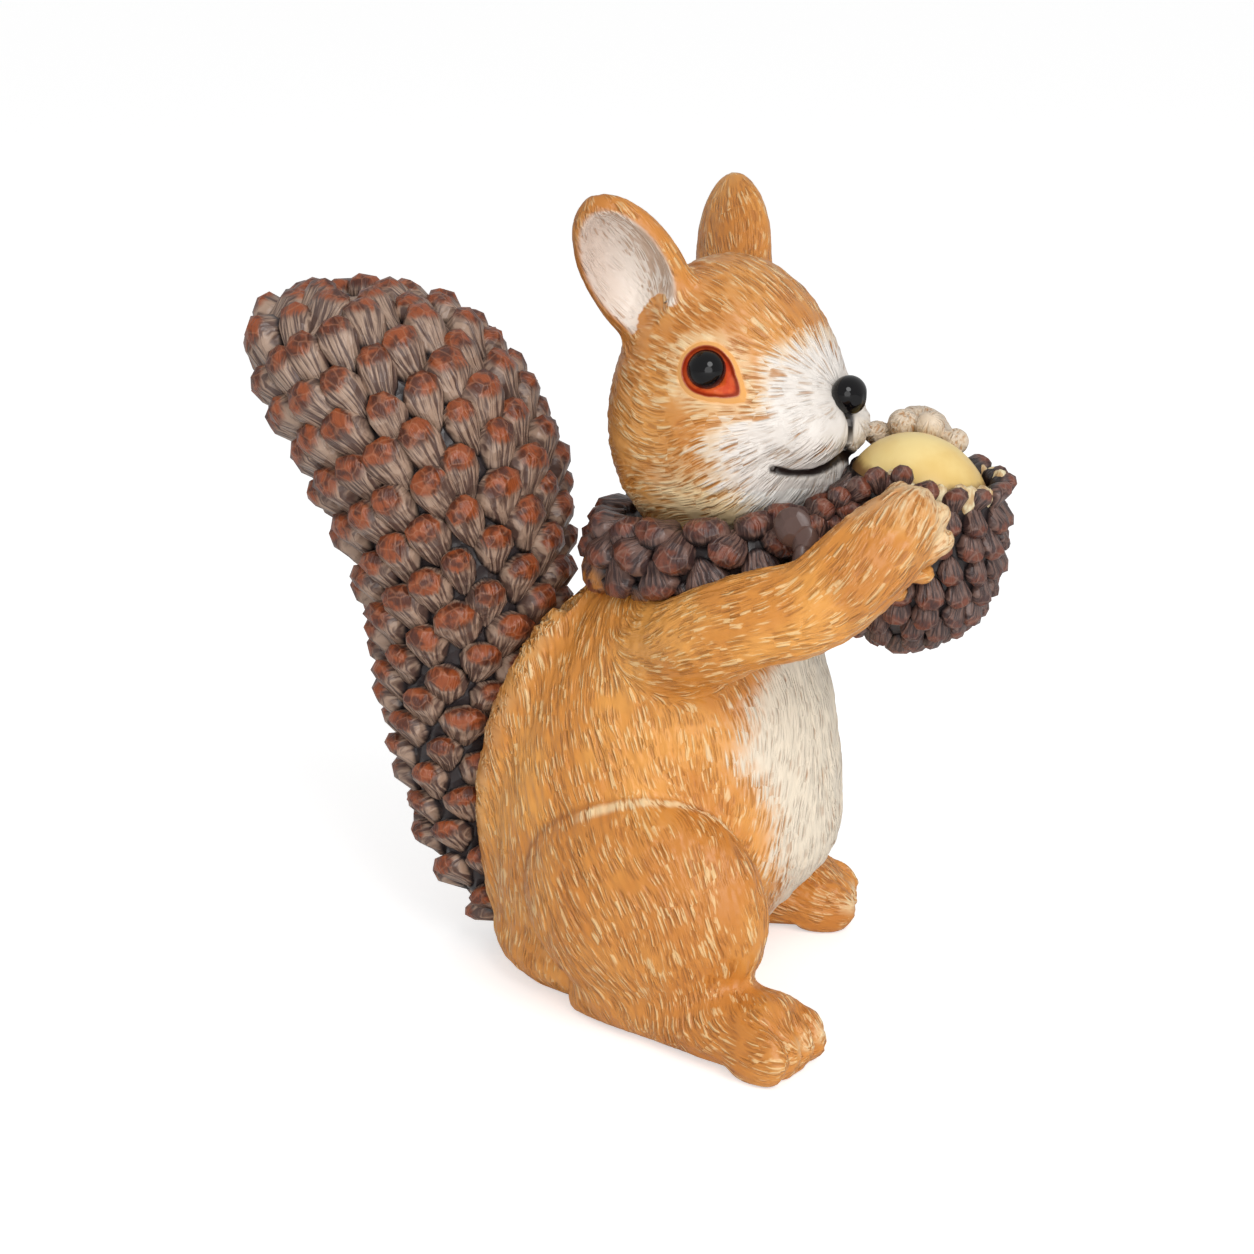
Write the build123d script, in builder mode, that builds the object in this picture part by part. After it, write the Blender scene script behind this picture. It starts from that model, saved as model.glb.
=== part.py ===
from build123d import *
from math import atan2, cos, degrees, hypot, sin, tau
import os

# Squirrel figurine holding an open nut, cast in resin as separate pieces and glued together.
# It faces -Y with its right side at -X, and its flat underside stands on Z = 0 around the origin.

# Fits
glue_gap = 0.3  # glue line between two castings
overrun = 6.0  # how far a cutting tool runs past the face that it opens

# Torso: hollow casting with a flat underside
torso_height = 112.0
torso_width = 76.0
torso_depth = 84.0
torso_wall = 5.0
cavity_top_share = 0.715
# rise, set back, half width and half depth of each section
torso_shares = (
    (0.000, 0.036, 0.340, 0.350),
    (0.045, 0.080, 0.405, 0.385),
    (0.160, 0.070, 0.440, 0.415),
    (0.325, 0.004, 0.500, 0.490),
    (0.435, -0.010, 0.500, 0.486),
    (0.555, -0.018, 0.474, 0.464),
    (0.630, -0.030, 0.460, 0.436),
    (0.715, -0.048, 0.434, 0.386),
    (0.790, -0.080, 0.405, 0.340),
    (0.860, -0.110, 0.355, 0.290),
    (0.940, -0.150, 0.270, 0.240),
    (1.000, -0.165, 0.215, 0.200),
)

# Base plug: closes the hole that the torso is poured through
plug_diameter = 22.0
plug_thickness = 4.0
plug_recess = 0.6
plug_taper = 1.2
plug_back_share = 0.19

# Head
head_sink = 5.0  # the head's underside below the torso's top
head_height = 64.5
head_width = 55.0
head_length = 57.0
nape_back = 11.0
head_turn = 12.0  # towards the right side
# distance from the nape, rise of the centre, half width and half height of each section
head_shares = (
    (0.000, 0.410, 0.080, 0.090),
    (0.060, 0.425, 0.250, 0.260),
    (0.170, 0.460, 0.400, 0.400),
    (0.300, 0.495, 0.480, 0.470),
    (0.440, 0.510, 0.500, 0.493),
    (0.580, 0.505, 0.480, 0.478),
    (0.700, 0.490, 0.420, 0.430),
    (0.810, 0.475, 0.325, 0.345),
    (0.890, 0.465, 0.240, 0.245),
    (0.960, 0.458, 0.170, 0.140),
    (1.000, 0.465, 0.090, 0.065),
)

# Eyes: glass beads set into the head
eye_diameter = 9.0
eye_along_share = 0.60
eye_rise_share = 0.667
eye_out_share = 0.415

# Nose
nose_width = 8.4
nose_length = 7.0
nose_height = 7.6
nose_sink = 0.8
nose_rise_share = 0.57

# Ears: cupped castings
ear_height = 39.5
ear_width = 22.5
ear_thickness = 12.0
ear_wall = 2.6
ear_lean = 24.0
ear_back_lean = 20.0
ear_turn = 14.0
ear_out_share = 0.364
ear_along_share = 0.253
ear_rise_share = 0.953

# Nut: an open shell around a smooth kernel
shell_diameter = 35.5
shell_wall = 2.8
shell_sides = 20
nut_reach = 57.5  # from the origin to the nut's middle
nut_rise_share = 0.985
nut_tilt = 9.0
# rise and radius of each section of the shell, from its middle
shell_shares = (
    (-0.57, 0.13),
    (-0.51, 0.26),
    (-0.41, 0.38),
    (-0.23, 0.48),
    (0.00, 0.51),
    (0.22, 0.50),
    (0.45, 0.46),
)
kernel_height = 38.0
kernel_rise_share = 0.19
shell_knob_width = 8.2
shell_knob_height = 3.0

# Neck garland: a band of knobs round the neck
garland_diameter = 52.0
garland_band = 17.0
garland_sides = 28
garland_forward = 15.0
garland_drop = 5.0  # the band's middle below the torso's top
garland_tilt = 5.0
garland_knob_width = 8.6
garland_knob_height = 4.0
garland_clear_share = 1.6  # room left round the nut, against the height of its knobs
# rise and radius of each section of the band
garland_shares = ((-0.50, 0.440), (-0.22, 0.490), (0.00, 0.500), (0.22, 0.490), (0.50, 0.445))

# Arms
arm_thickness = 22.0
arm_reach = 66.0
arm_rise = 32.0
arm_base_share = 0.83
finger_count = 4
finger_thickness = 6.0
finger_length = 9.5
finger_spacing_share = 0.72
# out, forward and up along each arm, and its radius
right_arm_shares = (
    (0.250, 0.030, -0.19, 0.36),
    (0.415, 0.270, -0.02, 0.47),
    (0.465, 0.485, 0.26, 0.51),
    (0.452, 0.70, 0.40, 0.49),
    (0.395, 0.87, 0.69, 0.45),
    (0.325, 0.965, 0.94, 0.38),
)
left_arm_shares = (
    (0.250, 0.030, -0.19, 0.36),
    (0.415, 0.270, -0.02, 0.47),
    (0.465, 0.460, 0.32, 0.51),
    (0.430, 0.64, 0.62, 0.47),
    (0.345, 0.75, 0.90, 0.42),
    (0.280, 0.80, 1.14, 0.34),
)

# Hind legs
thigh_width = 30.0
thigh_length = 60.0
thigh_height = 53.0
thigh_out_share = 0.435
thigh_forward_share = 0.095
thigh_rise = 31.0
thigh_turn = 8.0
foot_length = 63.0
foot_width = 22.0
foot_height = 18.0
foot_turn = 15.0
foot_flat = 0.8  # how much of each rounded section the flat sole takes off
heel_out_share = 0.36
heel_back_share = 0.13
left_leg_back = 15.0
# distance from the heel, half width and half height of each section
foot_shares = (
    (0.00, 0.20, 0.25),
    (0.12, 0.36, 0.42),
    (0.45, 0.44, 0.47),
    (0.75, 0.50, 0.50),
    (0.90, 0.45, 0.44),
    (0.96, 0.30, 0.30),
)
toe_count = 4
toe_length = 17.0
toe_spacing_share = 0.23
toe_width_share = 0.33
toe_height_share = 0.80

# Tail: faceted core under rows of hooded scales
tail_height = 148.5
tail_width = 58.0
tail_clearance = 6.0  # the core's lower end above the ground
tail_set_back = 52.0
tail_sides = 16
scale_width = 10.5
scale_height = 4.6
# rise, set back and radius of each section
tail_shares = (
    (0.000, -0.100, 0.070),
    (0.053, -0.062, 0.142),
    (0.119, -0.035, 0.190),
    (0.212, -0.017, 0.232),
    (0.344, 0.000, 0.276),
    (0.523, -0.007, 0.362),
    (0.669, 0.013, 0.430),
    (0.808, 0.064, 0.486),
    (0.927, 0.136, 0.455),
    (0.980, 0.167, 0.340),
    (1.000, 0.178, 0.190),
)

# Hooded knob, the shape of every scale on tail, shell and garland
knob_sides = 6
knob_least = 3
knob_spacing_share = 1.16
knob_pitch_share = 0.80
knob_tip_share = 0.62
knob_hood_share = 0.20
knob_root_share = 0.60

# Dowels: steel pins glued between castings
dowel_diameter = 5.0
dowel_length = 26.0
dowel_play = 0.1
dowel_chamfer = 0.5
tail_dowel_rise_shares = (0.26, 0.60)

head_base = torso_height - head_sink
neck_y = torso_depth * torso_shares[-1][1]
nut_z = torso_height * nut_rise_share
garland_z = torso_height - garland_drop
plug_y = torso_depth * plug_back_share
head_turned = Location((0, neck_y, 0), (0, 0, -head_turn)) * Location((0, -neck_y, 0))

os.makedirs("parts", exist_ok=True)


def save(piece, name):
    piece.part.label = name
    export_step(piece.part, f"parts/{name}.step")


def oval(half_width, half_height):
    """Ellipse whose seam lies at the bottom of the sketch, away from what is fitted at the sides."""
    Ellipse(half_height, half_width, rotation=-90)


def torso_form(extra):
    with BuildPart() as form:
        for rise_share, back_share, width_share, depth_share in torso_shares:
            with BuildSketch(Plane.XY.offset(torso_height * rise_share)):
                with Locations((0, torso_depth * back_share)):
                    oval(torso_width * width_share + extra, torso_depth * depth_share + extra)
        loft()
    return form.part


def cavity_form():
    top = torso_height * cavity_top_share
    with BuildPart() as form:
        for rise_share, back_share, width_share, depth_share in torso_shares:
            if rise_share <= cavity_top_share:
                rise = torso_wall + (top - torso_wall) * rise_share / cavity_top_share
                with BuildSketch(Plane.XY.offset(rise)):
                    with Locations((0, torso_depth * back_share)):
                        oval(torso_width * width_share - torso_wall, torso_depth * depth_share - torso_wall)
        loft()
    return form.part


def head_form(extra):
    with BuildPart() as form:
        for along_share, rise_share, width_share, height_share in head_shares:
            grow = extra * (2 * along_share - 1)
            with BuildSketch(Plane.XZ.offset(head_length * along_share - nape_back + grow)):
                with Locations((0, head_base + head_height * rise_share)):
                    oval(head_width * width_share + extra, head_height * height_share + extra)
        loft()
    return head_turned * form.part


def lump(width, length, height):
    with BuildPart() as form:
        Sphere(1)
        scale(by=(width / 2, length / 2, height / 2))
    return form.part


def arm_route(side, shares):
    base = torso_height * arm_base_share
    return [
        (side * torso_width * out_share, -arm_reach * reach_share, base + arm_rise * rise_share)
        for out_share, reach_share, rise_share, thick_share in shares
    ]


def arm_form(side, shares, extra, fingers):
    route = arm_route(side, shares)
    with BuildLine() as path:
        spine = Spline(*route)
    with BuildPart() as form:
        for index, (out_share, reach_share, rise_share, thick_share) in enumerate(shares):
            along = spine.param_at_point(route[index])
            with BuildSketch(Plane(spine @ along, x_dir=(1, 0, 0), z_dir=spine % along)):
                Circle(arm_thickness * thick_share + extra)
        loft()
        with Locations(spine @ 1):
            Sphere(arm_thickness * shares[-1][3] + extra)
        paw = Plane(spine @ 1, x_dir=(spine % 1).cross(Vector(1, 0, 0)), z_dir=spine % 1)
        with Locations(paw):
            with GridLocations(finger_thickness * finger_spacing_share, 0, fingers, 1):
                with Locations((0, 0, finger_length / 2)):
                    thickness = finger_thickness + 2 * extra
                    add(lump(thickness, thickness, finger_length + 2 * extra))
    return form.part


def polygon_form(shares, width, height, sides, root):
    with BuildPart() as form:
        for rise_share, back_share, radius_share in shares:
            with BuildSketch(Plane.XY.offset(height * rise_share)):
                with Locations((0, height * back_share)):
                    RegularPolygon(width * radius_share + root, sides)
        loft(ruled=True)
    return form.part


def knob(width, height):
    with BuildPart() as form:
        with BuildSketch(Plane.XY.offset(-height * knob_root_share)):
            RegularPolygon(width / 2, knob_sides)
        with BuildSketch(Plane.XY.offset(height)):
            with Locations((0, width * knob_hood_share)):
                RegularPolygon(width / 2 * knob_tip_share, knob_sides)
        loft(ruled=True)
    return form.part


def knob_rows(place, shares, width, height, knob_width, knob_height, neighbours):
    """Rows of knobs over the sections of a form, each row set off half a step from the last.

    Knobs whose root lies inside a neighbour are left out.
    """
    points = [(height * rise, height * back, width * radius) for rise, back, radius in shares]
    pitch = knob_width * knob_pitch_share
    travelled = pitch / 2
    row = 0
    knobs = []
    for (z0, y0, r0), (z1, y1, r1) in zip(points, points[1:]):
        run = hypot(z1 - z0, r1 - r0)
        while travelled <= run:
            share = travelled / run
            radius = r0 + (r1 - r0) * share
            count = max(knob_least, round(tau * radius / (knob_width * knob_spacing_share)))
            fit_share = min(1, tau * radius / count / (knob_width * knob_spacing_share) + knob_hood_share)
            shape = knob(knob_width * fit_share, knob_height * fit_share)
            for step in range(count):
                angle = tau * (step + row % 2 / 2) / count
                out = Vector(cos(angle), sin(angle), 0)
                around = Vector(-sin(angle), cos(angle), 0)
                up = out * (r1 - r0) + Vector(0, y1 - y0, z1 - z0)
                centre = Vector(0, y0 + (y1 - y0) * share, z0 + (z1 - z0) * share)
                seat = place * Plane(centre + out * radius, x_dir=around, z_dir=around.cross(up)).location
                if not any(form.is_inside(seat.position) for form in neighbours):
                    knobs.append(seat * shape)
            row += 1
            travelled += pitch
        travelled -= run
    return knobs


# Dowels: one in the neck, two between torso and tail
with BuildPart() as pin:
    Cylinder(dowel_diameter / 2, dowel_length)
    chamfer(pin.edges(), dowel_chamfer)
with BuildPart() as pin_hole:
    Cylinder(dowel_diameter / 2 + dowel_play, dowel_length + 2 * dowel_play)

neck_place = Location((0, neck_y, head_base + dowel_chamfer))
tail_places = [
    Location((0, torso_depth / 2 + dowel_length / 2 - torso_wall, torso_height * rise_share), (90, 0, 0))
    for rise_share in tail_dowel_rise_shares
]

with BuildPart() as neck_dowel:
    with Locations(neck_place):
        add(pin.part)
save(neck_dowel, "neck_dowel")

with BuildPart() as tail_dowels:
    with Locations(*tail_places):
        add(pin.part)
save(tail_dowels, "tail_dowels")

# Torso: a seat for the head, a cavity and the pour hole
with BuildPart() as torso:
    add(torso_form(0))
    add(head_form(glue_gap), mode=Mode.SUBTRACT)
    add(cavity_form(), mode=Mode.SUBTRACT)
    with Locations((0, plug_y, torso_wall / 2)):
        Cylinder(plug_diameter / 2 + glue_gap, torso_wall + overrun, mode=Mode.SUBTRACT)
    with Locations(neck_place, *tail_places):
        add(pin_hole.part, mode=Mode.SUBTRACT)
save(torso, "torso")

with BuildPart() as base_plug:
    with BuildSketch(Plane.XY.offset(plug_recess)):
        with Locations((0, plug_y)):
            Circle(plug_diameter / 2)
    extrude(amount=plug_thickness, taper=degrees(atan2(plug_taper, plug_thickness)))
save(base_plug, "base_plug")

# Head with sockets for the eyes and the nose
eye_y = nape_back - head_length * eye_along_share
eye_z = head_base + head_height * eye_rise_share
eye_places = [
    head_turned * Location((side * head_width * eye_out_share, eye_y, eye_z)) for side in (-1, 1)
]
nose_place = head_turned * Location(
    (0, nape_back - head_length + nose_sink, head_base + head_height * nose_rise_share)
)


def nose_form(extra):
    return lump(nose_width + 2 * extra, nose_length + 2 * extra, nose_height + 2 * extra)


with BuildPart() as head:
    add(head_form(0))
    with Locations(*eye_places):
        Sphere(eye_diameter / 2 + glue_gap, mode=Mode.SUBTRACT)
    with Locations(nose_place):
        add(nose_form(glue_gap), mode=Mode.SUBTRACT)
    with Locations(neck_place):
        add(pin_hole.part, mode=Mode.SUBTRACT)
save(head, "head")

for name, place in zip(("right_eye", "left_eye"), eye_places):
    with BuildPart() as eye:
        with Locations(place):
            Sphere(eye_diameter / 2)
    save(eye, name)

with BuildPart() as nose:
    with Locations(nose_place):
        add(nose_form(0))
save(nose, "nose")

# Ears: cupped outwards and fitted to the head
for side, name in ((-1, "right_ear"), (1, "left_ear")):
    ear_place = head_turned * Location(
        (
            side * head_width * ear_out_share,
            nape_back - head_length * ear_along_share,
            head_base + head_height * ear_rise_share,
        ),
        (-ear_back_lean, side * ear_lean, -side * ear_turn),
    )
    with BuildPart() as ear:
        with Locations(ear_place):
            add(lump(ear_thickness, ear_width, ear_height))
            with Locations((side * ear_thickness / 2, 0, ear_wall)):
                add(
                    lump(2 * (ear_thickness - ear_wall), ear_width - 2 * ear_wall, ear_height - 4 * ear_wall),
                    mode=Mode.SUBTRACT,
                )
        add(head_form(glue_gap), mode=Mode.SUBTRACT)
    save(ear, name)

# Arms, fitted to the torso, with fingers that reach over the nut
arm_forms = []
for side, name, shares in ((-1, "right_arm", right_arm_shares), (1, "left_arm", left_arm_shares)):
    arm_forms.append(arm_form(side, shares, glue_gap, finger_count))
    with BuildPart() as arm:
        add(arm_form(side, shares, 0, finger_count))
        add(torso_form(glue_gap), mode=Mode.SUBTRACT)
    save(arm, name)

# Hind legs: thigh and foot in one casting, flat underneath and fitted to the torso
for side, name, back in ((-1, "right_hind_leg", 0), (1, "left_hind_leg", left_leg_back)):
    thigh_place = Location(
        (side * torso_width * thigh_out_share, back - torso_depth * thigh_forward_share, thigh_rise),
        (0, 0, side * thigh_turn),
    )
    heel_place = Location(
        (side * torso_width * heel_out_share, back + torso_depth * heel_back_share, 0),
        (0, 0, side * foot_turn),
    )
    with BuildPart() as foot:
        for along_share, width_share, height_share in foot_shares:
            with BuildSketch(Plane.XZ.offset(foot_length * along_share)):
                with Locations((0, foot_height * height_share - foot_flat)):
                    oval(foot_width * width_share, foot_height * height_share)
        loft()
        toe_rise = foot_height * toe_height_share / 2 - foot_flat
        with Locations((0, toe_length / 2 - foot_length, toe_rise)):
            with GridLocations(foot_width * toe_spacing_share, 0, toe_count, 1):
                add(lump(foot_width * toe_width_share, toe_length, foot_height * toe_height_share))
    with BuildPart() as leg:
        with Locations(thigh_place):
            add(lump(thigh_width, thigh_length, thigh_height))
        with Locations(heel_place):
            add(foot.part)
        split(bisect_by=Plane.XY, keep=Keep.TOP)
        add(torso_form(glue_gap), mode=Mode.SUBTRACT)
    save(leg, name)

# Kernel and shell of the nut
nut_place = Location((0, -nut_reach, nut_z), (nut_tilt, 0, 0))
kernel_width = shell_diameter - 2 * shell_wall
shell_sections = [(rise, 0, radius) for rise, radius in shell_shares]


def kernel_form(extra):
    with BuildPart() as form:
        with Locations(nut_place):
            with Locations((0, 0, shell_diameter * kernel_rise_share)):
                add(lump(kernel_width + 2 * extra, kernel_width + 2 * extra, kernel_height + 2 * extra))
    return form.part


with BuildPart() as nut_kernel:
    add(kernel_form(0))
    add(head_form(glue_gap), mode=Mode.SUBTRACT)
save(nut_kernel, "nut_kernel")


def knobbed(piece_place, shares, width, height, sides, knob_width, knob_height, neighbours):
    """Faceted body under rows of knobs, fitted to its neighbours."""
    with BuildPart() as form:
        with Locations(piece_place):
            add(polygon_form(shares, width, height, sides, 0))
        add(knob_rows(piece_place, shares, width, height, knob_width, knob_height, neighbours), clean=False)
        for neighbour in neighbours:
            add(neighbour, mode=Mode.SUBTRACT, clean=False)
    return form


torso_seat = torso_form(glue_gap)
head_seat = head_form(glue_gap)
shell_shape = (shell_sections, shell_diameter, shell_diameter, shell_sides)
nut_shell = knobbed(
    nut_place,
    *shell_shape,
    shell_knob_width,
    shell_knob_height,
    [kernel_form(glue_gap), head_seat, *arm_forms],
)
save(nut_shell, "nut_shell")

# Garland round the neck, fitted to torso, head, arms and nut
garland_place = Location((0, -garland_forward, garland_z), (-garland_tilt, 0, 0))
garland_sections = [(rise * garland_band / garland_diameter, 0, radius) for rise, radius in garland_shares]
nut_seat = nut_place * polygon_form(*shell_shape, shell_knob_height * garland_clear_share)
neck_garland = knobbed(
    garland_place,
    garland_sections,
    garland_diameter,
    garland_diameter,
    garland_sides,
    garland_knob_width,
    garland_knob_height,
    [torso_seat, head_seat, nut_seat, *arm_forms],
)
save(neck_garland, "neck_garland")

# Tail: scales from the lower end to the tip, fitted to the back
tail_place = Location((0, tail_set_back, tail_clearance))
tail = knobbed(
    tail_place, tail_shares, tail_width, tail_height, tail_sides, scale_width, scale_height, [torso_seat]
)
with tail:
    with Locations(*tail_places):
        add(pin_hole.part, mode=Mode.SUBTRACT, clean=False)
save(tail, "tail")
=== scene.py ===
import bmesh
import bpy
import numpy as np
from math import cos, radians, sin, tau
from mathutils import Euler, Matrix, Vector


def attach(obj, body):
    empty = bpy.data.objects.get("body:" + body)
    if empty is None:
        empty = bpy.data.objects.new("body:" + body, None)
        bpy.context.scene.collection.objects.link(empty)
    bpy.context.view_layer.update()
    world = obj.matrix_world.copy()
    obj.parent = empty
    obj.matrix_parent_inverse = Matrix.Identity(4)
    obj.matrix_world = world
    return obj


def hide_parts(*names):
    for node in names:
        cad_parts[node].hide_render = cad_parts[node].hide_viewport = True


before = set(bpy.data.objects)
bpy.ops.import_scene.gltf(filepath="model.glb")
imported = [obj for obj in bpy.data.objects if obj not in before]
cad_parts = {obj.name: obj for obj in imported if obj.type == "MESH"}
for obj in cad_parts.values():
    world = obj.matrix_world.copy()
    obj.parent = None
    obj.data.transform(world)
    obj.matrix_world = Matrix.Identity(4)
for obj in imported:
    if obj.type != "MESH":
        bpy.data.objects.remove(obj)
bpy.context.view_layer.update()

mm = 0.001

# The squirrel faces -Y and stands on Z = 0. Shapes are worked out in millimetres and end in metres.


def newObject(name, data):
    made = bpy.data.objects.new(name, data)
    bpy.context.scene.collection.objects.link(made)
    return made


cameraFacts = {
    "azimuth": -68.0,
    "elevation": 16.5,
    "distance": 557.3,
    "target": (0.0, 9.6, 84.1),
    "lens": 68.9,
}


def makeCamera(facts):
    azimuth, elevation = radians(facts["azimuth"]), radians(facts["elevation"])
    back = Vector((sin(azimuth) * cos(elevation), -cos(azimuth) * cos(elevation), sin(elevation)))
    right = Vector((cos(azimuth), sin(azimuth), 0))
    place = (Vector(facts["target"]) + back * facts["distance"]) * mm
    lensData = bpy.data.cameras.new("camera")
    lensData.lens = facts["lens"]
    lensData.clip_end = 60
    camera = newObject("camera", lensData)
    camera.matrix_world = Matrix.Translation(place) @ Matrix((right, back.cross(right), back)).transposed().to_4x4()
    bpy.context.scene.camera = camera


makeCamera(cameraFacts)
print("camera set")

# Paint: each material's nodes are made through one of these


def tint(red, green, blue):
    shares = [value / 255 for value in (red, green, blue)]
    return [s / 12.92 if s < 0.0405 else ((s + 0.055) / 1.055) ** 2.4 for s in shares] + [1.0]


def tints(**colours):
    return {name: tint(*colour) for name, colour in colours.items()}


def newNode(tree, kind, inputs=(), **settings):
    node = tree.nodes.new("ShaderNode" + kind)
    for name, value in settings.items():
        setattr(node, name, value)
    for socket, value in dict(inputs).items():
        if isinstance(value, bpy.types.NodeSocket):
            tree.links.new(value, node.inputs[socket])
        else:
            node.inputs[socket].default_value = value
    return node.outputs


class Paint:
    def __init__(self, name, **sockets):
        self.material = bpy.data.materials.new(name)
        self.material.use_nodes = True
        self.tree = self.material.node_tree
        self.shader = self.tree.nodes["Principled BSDF"]
        for socket, value in sockets.items():
            self.shader.inputs[socket.replace("_", " ")].default_value = value

    def node(self, kind, inputs=(), **settings):
        return newNode(self.tree, kind, inputs, **settings)

    def place(self):
        return self.node("TexCoord")["Object"]

    def attribute(self, name, output="Fac"):
        return self.node("Attribute", attribute_name=name)[output]

    def parts(self, name):
        return self.node("SeparateXYZ", {0: self.attribute(name, "Vector")})

    def math(self, operation, first, second):
        return self.node("Math", {0: first, 1: second}, operation=operation)[0]

    def plus(self, first, second):
        return self.math("ADD", first, second)

    def times(self, first, second):
        return self.math("MULTIPLY", first, second)

    def vector(self, operation, first, second):
        return self.node("VectorMath", {0: first, 1: second}, operation=operation)

    def stretched(self, first, scale):
        return self.node("VectorMath", {0: first, "Scale": scale}, operation="SCALE")[0]

    def ramp(self, value, low, high):
        spread = {"Value": value, "From Min": low, "From Max": high}
        return self.node("MapRange", spread, interpolation_type="SMOOTHSTEP")[0]

    def blend(self, share, first, second):
        return self.node("Mix", {0: share, 6: first, 7: second}, data_type="RGBA")[2]

    def noise(self, scale, detail=3.0, stretch=(1, 1, 1)):
        turned = self.node("Mapping", {"Vector": self.place(), "Scale": stretch})[0]
        return self.node("TexNoise", {"Vector": turned, "Scale": scale, "Detail": detail})["Fac"]

    def clouds(self, noise, first, second, low=0.35, high=0.65):
        return self.blend(self.ramp(noise, low, high), first, second)

    def finish(self, base, height=None, strength=0.0, distance=0.0):
        self.tree.links.new(base, self.shader.inputs["Base Color"])
        if height is not None:
            facts = {"Height": height, "Strength": strength, "Distance": distance}
            self.tree.links.new(self.node("Bump", facts)[0], self.shader.inputs["Normal"])
        return self.material


furColours = tints(
    mid=(212, 138, 58),
    bright=(230, 160, 76),
    brown=(194, 120, 50),
    # painted shade in the hollows between the strokes, on orange fur here and on cream and white fur below
    groove=(146, 82, 32),
    ridge=(252, 220, 162),
    cream=(248, 220, 172),
    creamGroove=(196, 142, 86),
    white=(246, 243, 236),
    belly=(236, 222, 200),
    shade=(196, 182, 162),
    mouth=(30, 20, 18),
    lid=(236, 172, 98),
    cup=(254, 247, 236),
    # painted shade deep in the ear cups
    cupShade=(206, 182, 160),
)
hairFacts = {
    # cells, lines across and lines along per metre, and where the cells start
    "layers": ((190.0, 1400.0, 100.0, (0, 0, 0)), (240.0, 1700.0, 120.0, (0.31, 0.17, 0.53))),
    "strokeShare": 0.13,
    "hairShare": 9.5,
    "bump": (0.8, 0.0011),
}


# Fine hairs: in cells a few millimetres wide, noise drawn out along the flow that fades at each cell's edge
def fineHairs(paint, cells, across, along, offset):
    place = paint.vector("ADD", paint.place(), offset)[0]
    flow = paint.attribute("furFlow", "Vector")
    cell = paint.node("TexVoronoi", {"Vector": place, "Scale": cells})
    near = paint.vector("SUBTRACT", place, cell["Position"])[0]
    runs = paint.stretched(flow, paint.vector("DOT_PRODUCT", near, flow)["Value"])
    side = paint.stretched(paint.vector("SUBTRACT", near, runs)[0], across)
    spot = paint.vector("ADD", side, paint.stretched(runs, along))[0]
    spot = paint.vector("ADD", spot, paint.stretched(cell["Color"], 40.0))[0]
    lines = paint.node("TexNoise", {"Vector": spot, "Scale": 1.0, "Detail": 1.0})["Fac"]
    return paint.times(paint.math("SUBTRACT", lines, 0.5), paint.ramp(cell["Distance"], 0.75, 0.3))


def makeFur(colours, facts):
    paint = Paint("paintedFur", Roughness=0.38, Specular_IOR_Level=0.45, Coat_Weight=0.12, Coat_Roughness=0.28)
    masks, tonesAndShade = paint.parts("furMasks"), paint.parts("furTonesAndShade")
    dark, lid = paint.attribute("furDark"), paint.attribute("furLid")
    hairs = paint.plus(*[fineHairs(paint, *layer) for layer in facts["layers"]])
    strokes = paint.times(paint.attribute("furStroke"), facts["strokeShare"])
    ridges = paint.plus(strokes, paint.times(hairs, facts["hairShare"]))
    # painted shade: a mask for the hollows between the strokes' ridges
    grooveShade = paint.ramp(ridges, -0.2, -1.6)

    def brushed(base, over, mask, wander, low, high, start):
        edge = paint.ramp(paint.plus(mask, paint.times(ridges, wander)), low, high)
        return paint.blend(paint.times(edge, paint.ramp(mask, 0, start)), base, over)

    base = paint.clouds(paint.noise(55), colours["mid"], colours["bright"], 0.4, 0.62)
    base = paint.blend(masks["Z"], base, colours["brown"])
    # painted shade darkens the hollows of the orange fur, then of the cream and white fur
    base = paint.blend(paint.times(grooveShade, 0.42), base, colours["groove"])
    base = paint.blend(paint.times(paint.ramp(ridges, 0.4, 1.6), 0.6), base, colours["ridge"])
    creamy = paint.blend(paint.times(grooveShade, 0.8), colours["cream"], colours["creamGroove"])
    base = brushed(base, creamy, masks["Y"], 0.2, 0, 1, 0.3)
    white = paint.blend(tonesAndShade["X"], colours["white"], colours["belly"])
    pale = paint.blend(paint.times(grooveShade, 0.5), white, colours["shade"])
    base = brushed(base, pale, masks["X"], 0.17, 0.1, 0.9, 0.2)
    # the ear cups: pale inside, with painted shade that grows across each cup and along the hollows between strokes
    inner = paint.blend(paint.ramp(paint.plus(ridges, tonesAndShade["Z"]), 0.3, -1.5), colours["cup"], colours["cupShade"])
    base = paint.blend(tonesAndShade["Y"], base, inner)
    # painted shade in the crease where each leg meets the torso
    base = paint.blend(paint.times(paint.attribute("furCreaseShade"), 0.5), base, colours["groove"])
    base = paint.blend(lid, base, colours["lid"])
    base = paint.blend(dark, base, colours["mouth"])
    haired = paint.math("SUBTRACT", 1.0, paint.math("MAXIMUM", lid, dark))
    return paint.finish(base, paint.times(hairs, haired), *facts["bump"])


furMaterial = makeFur(furColours, hairFacts)
print("fur material made")

# Fields: each gives the rough distance in millimetres from its surface, negative inside


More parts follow.
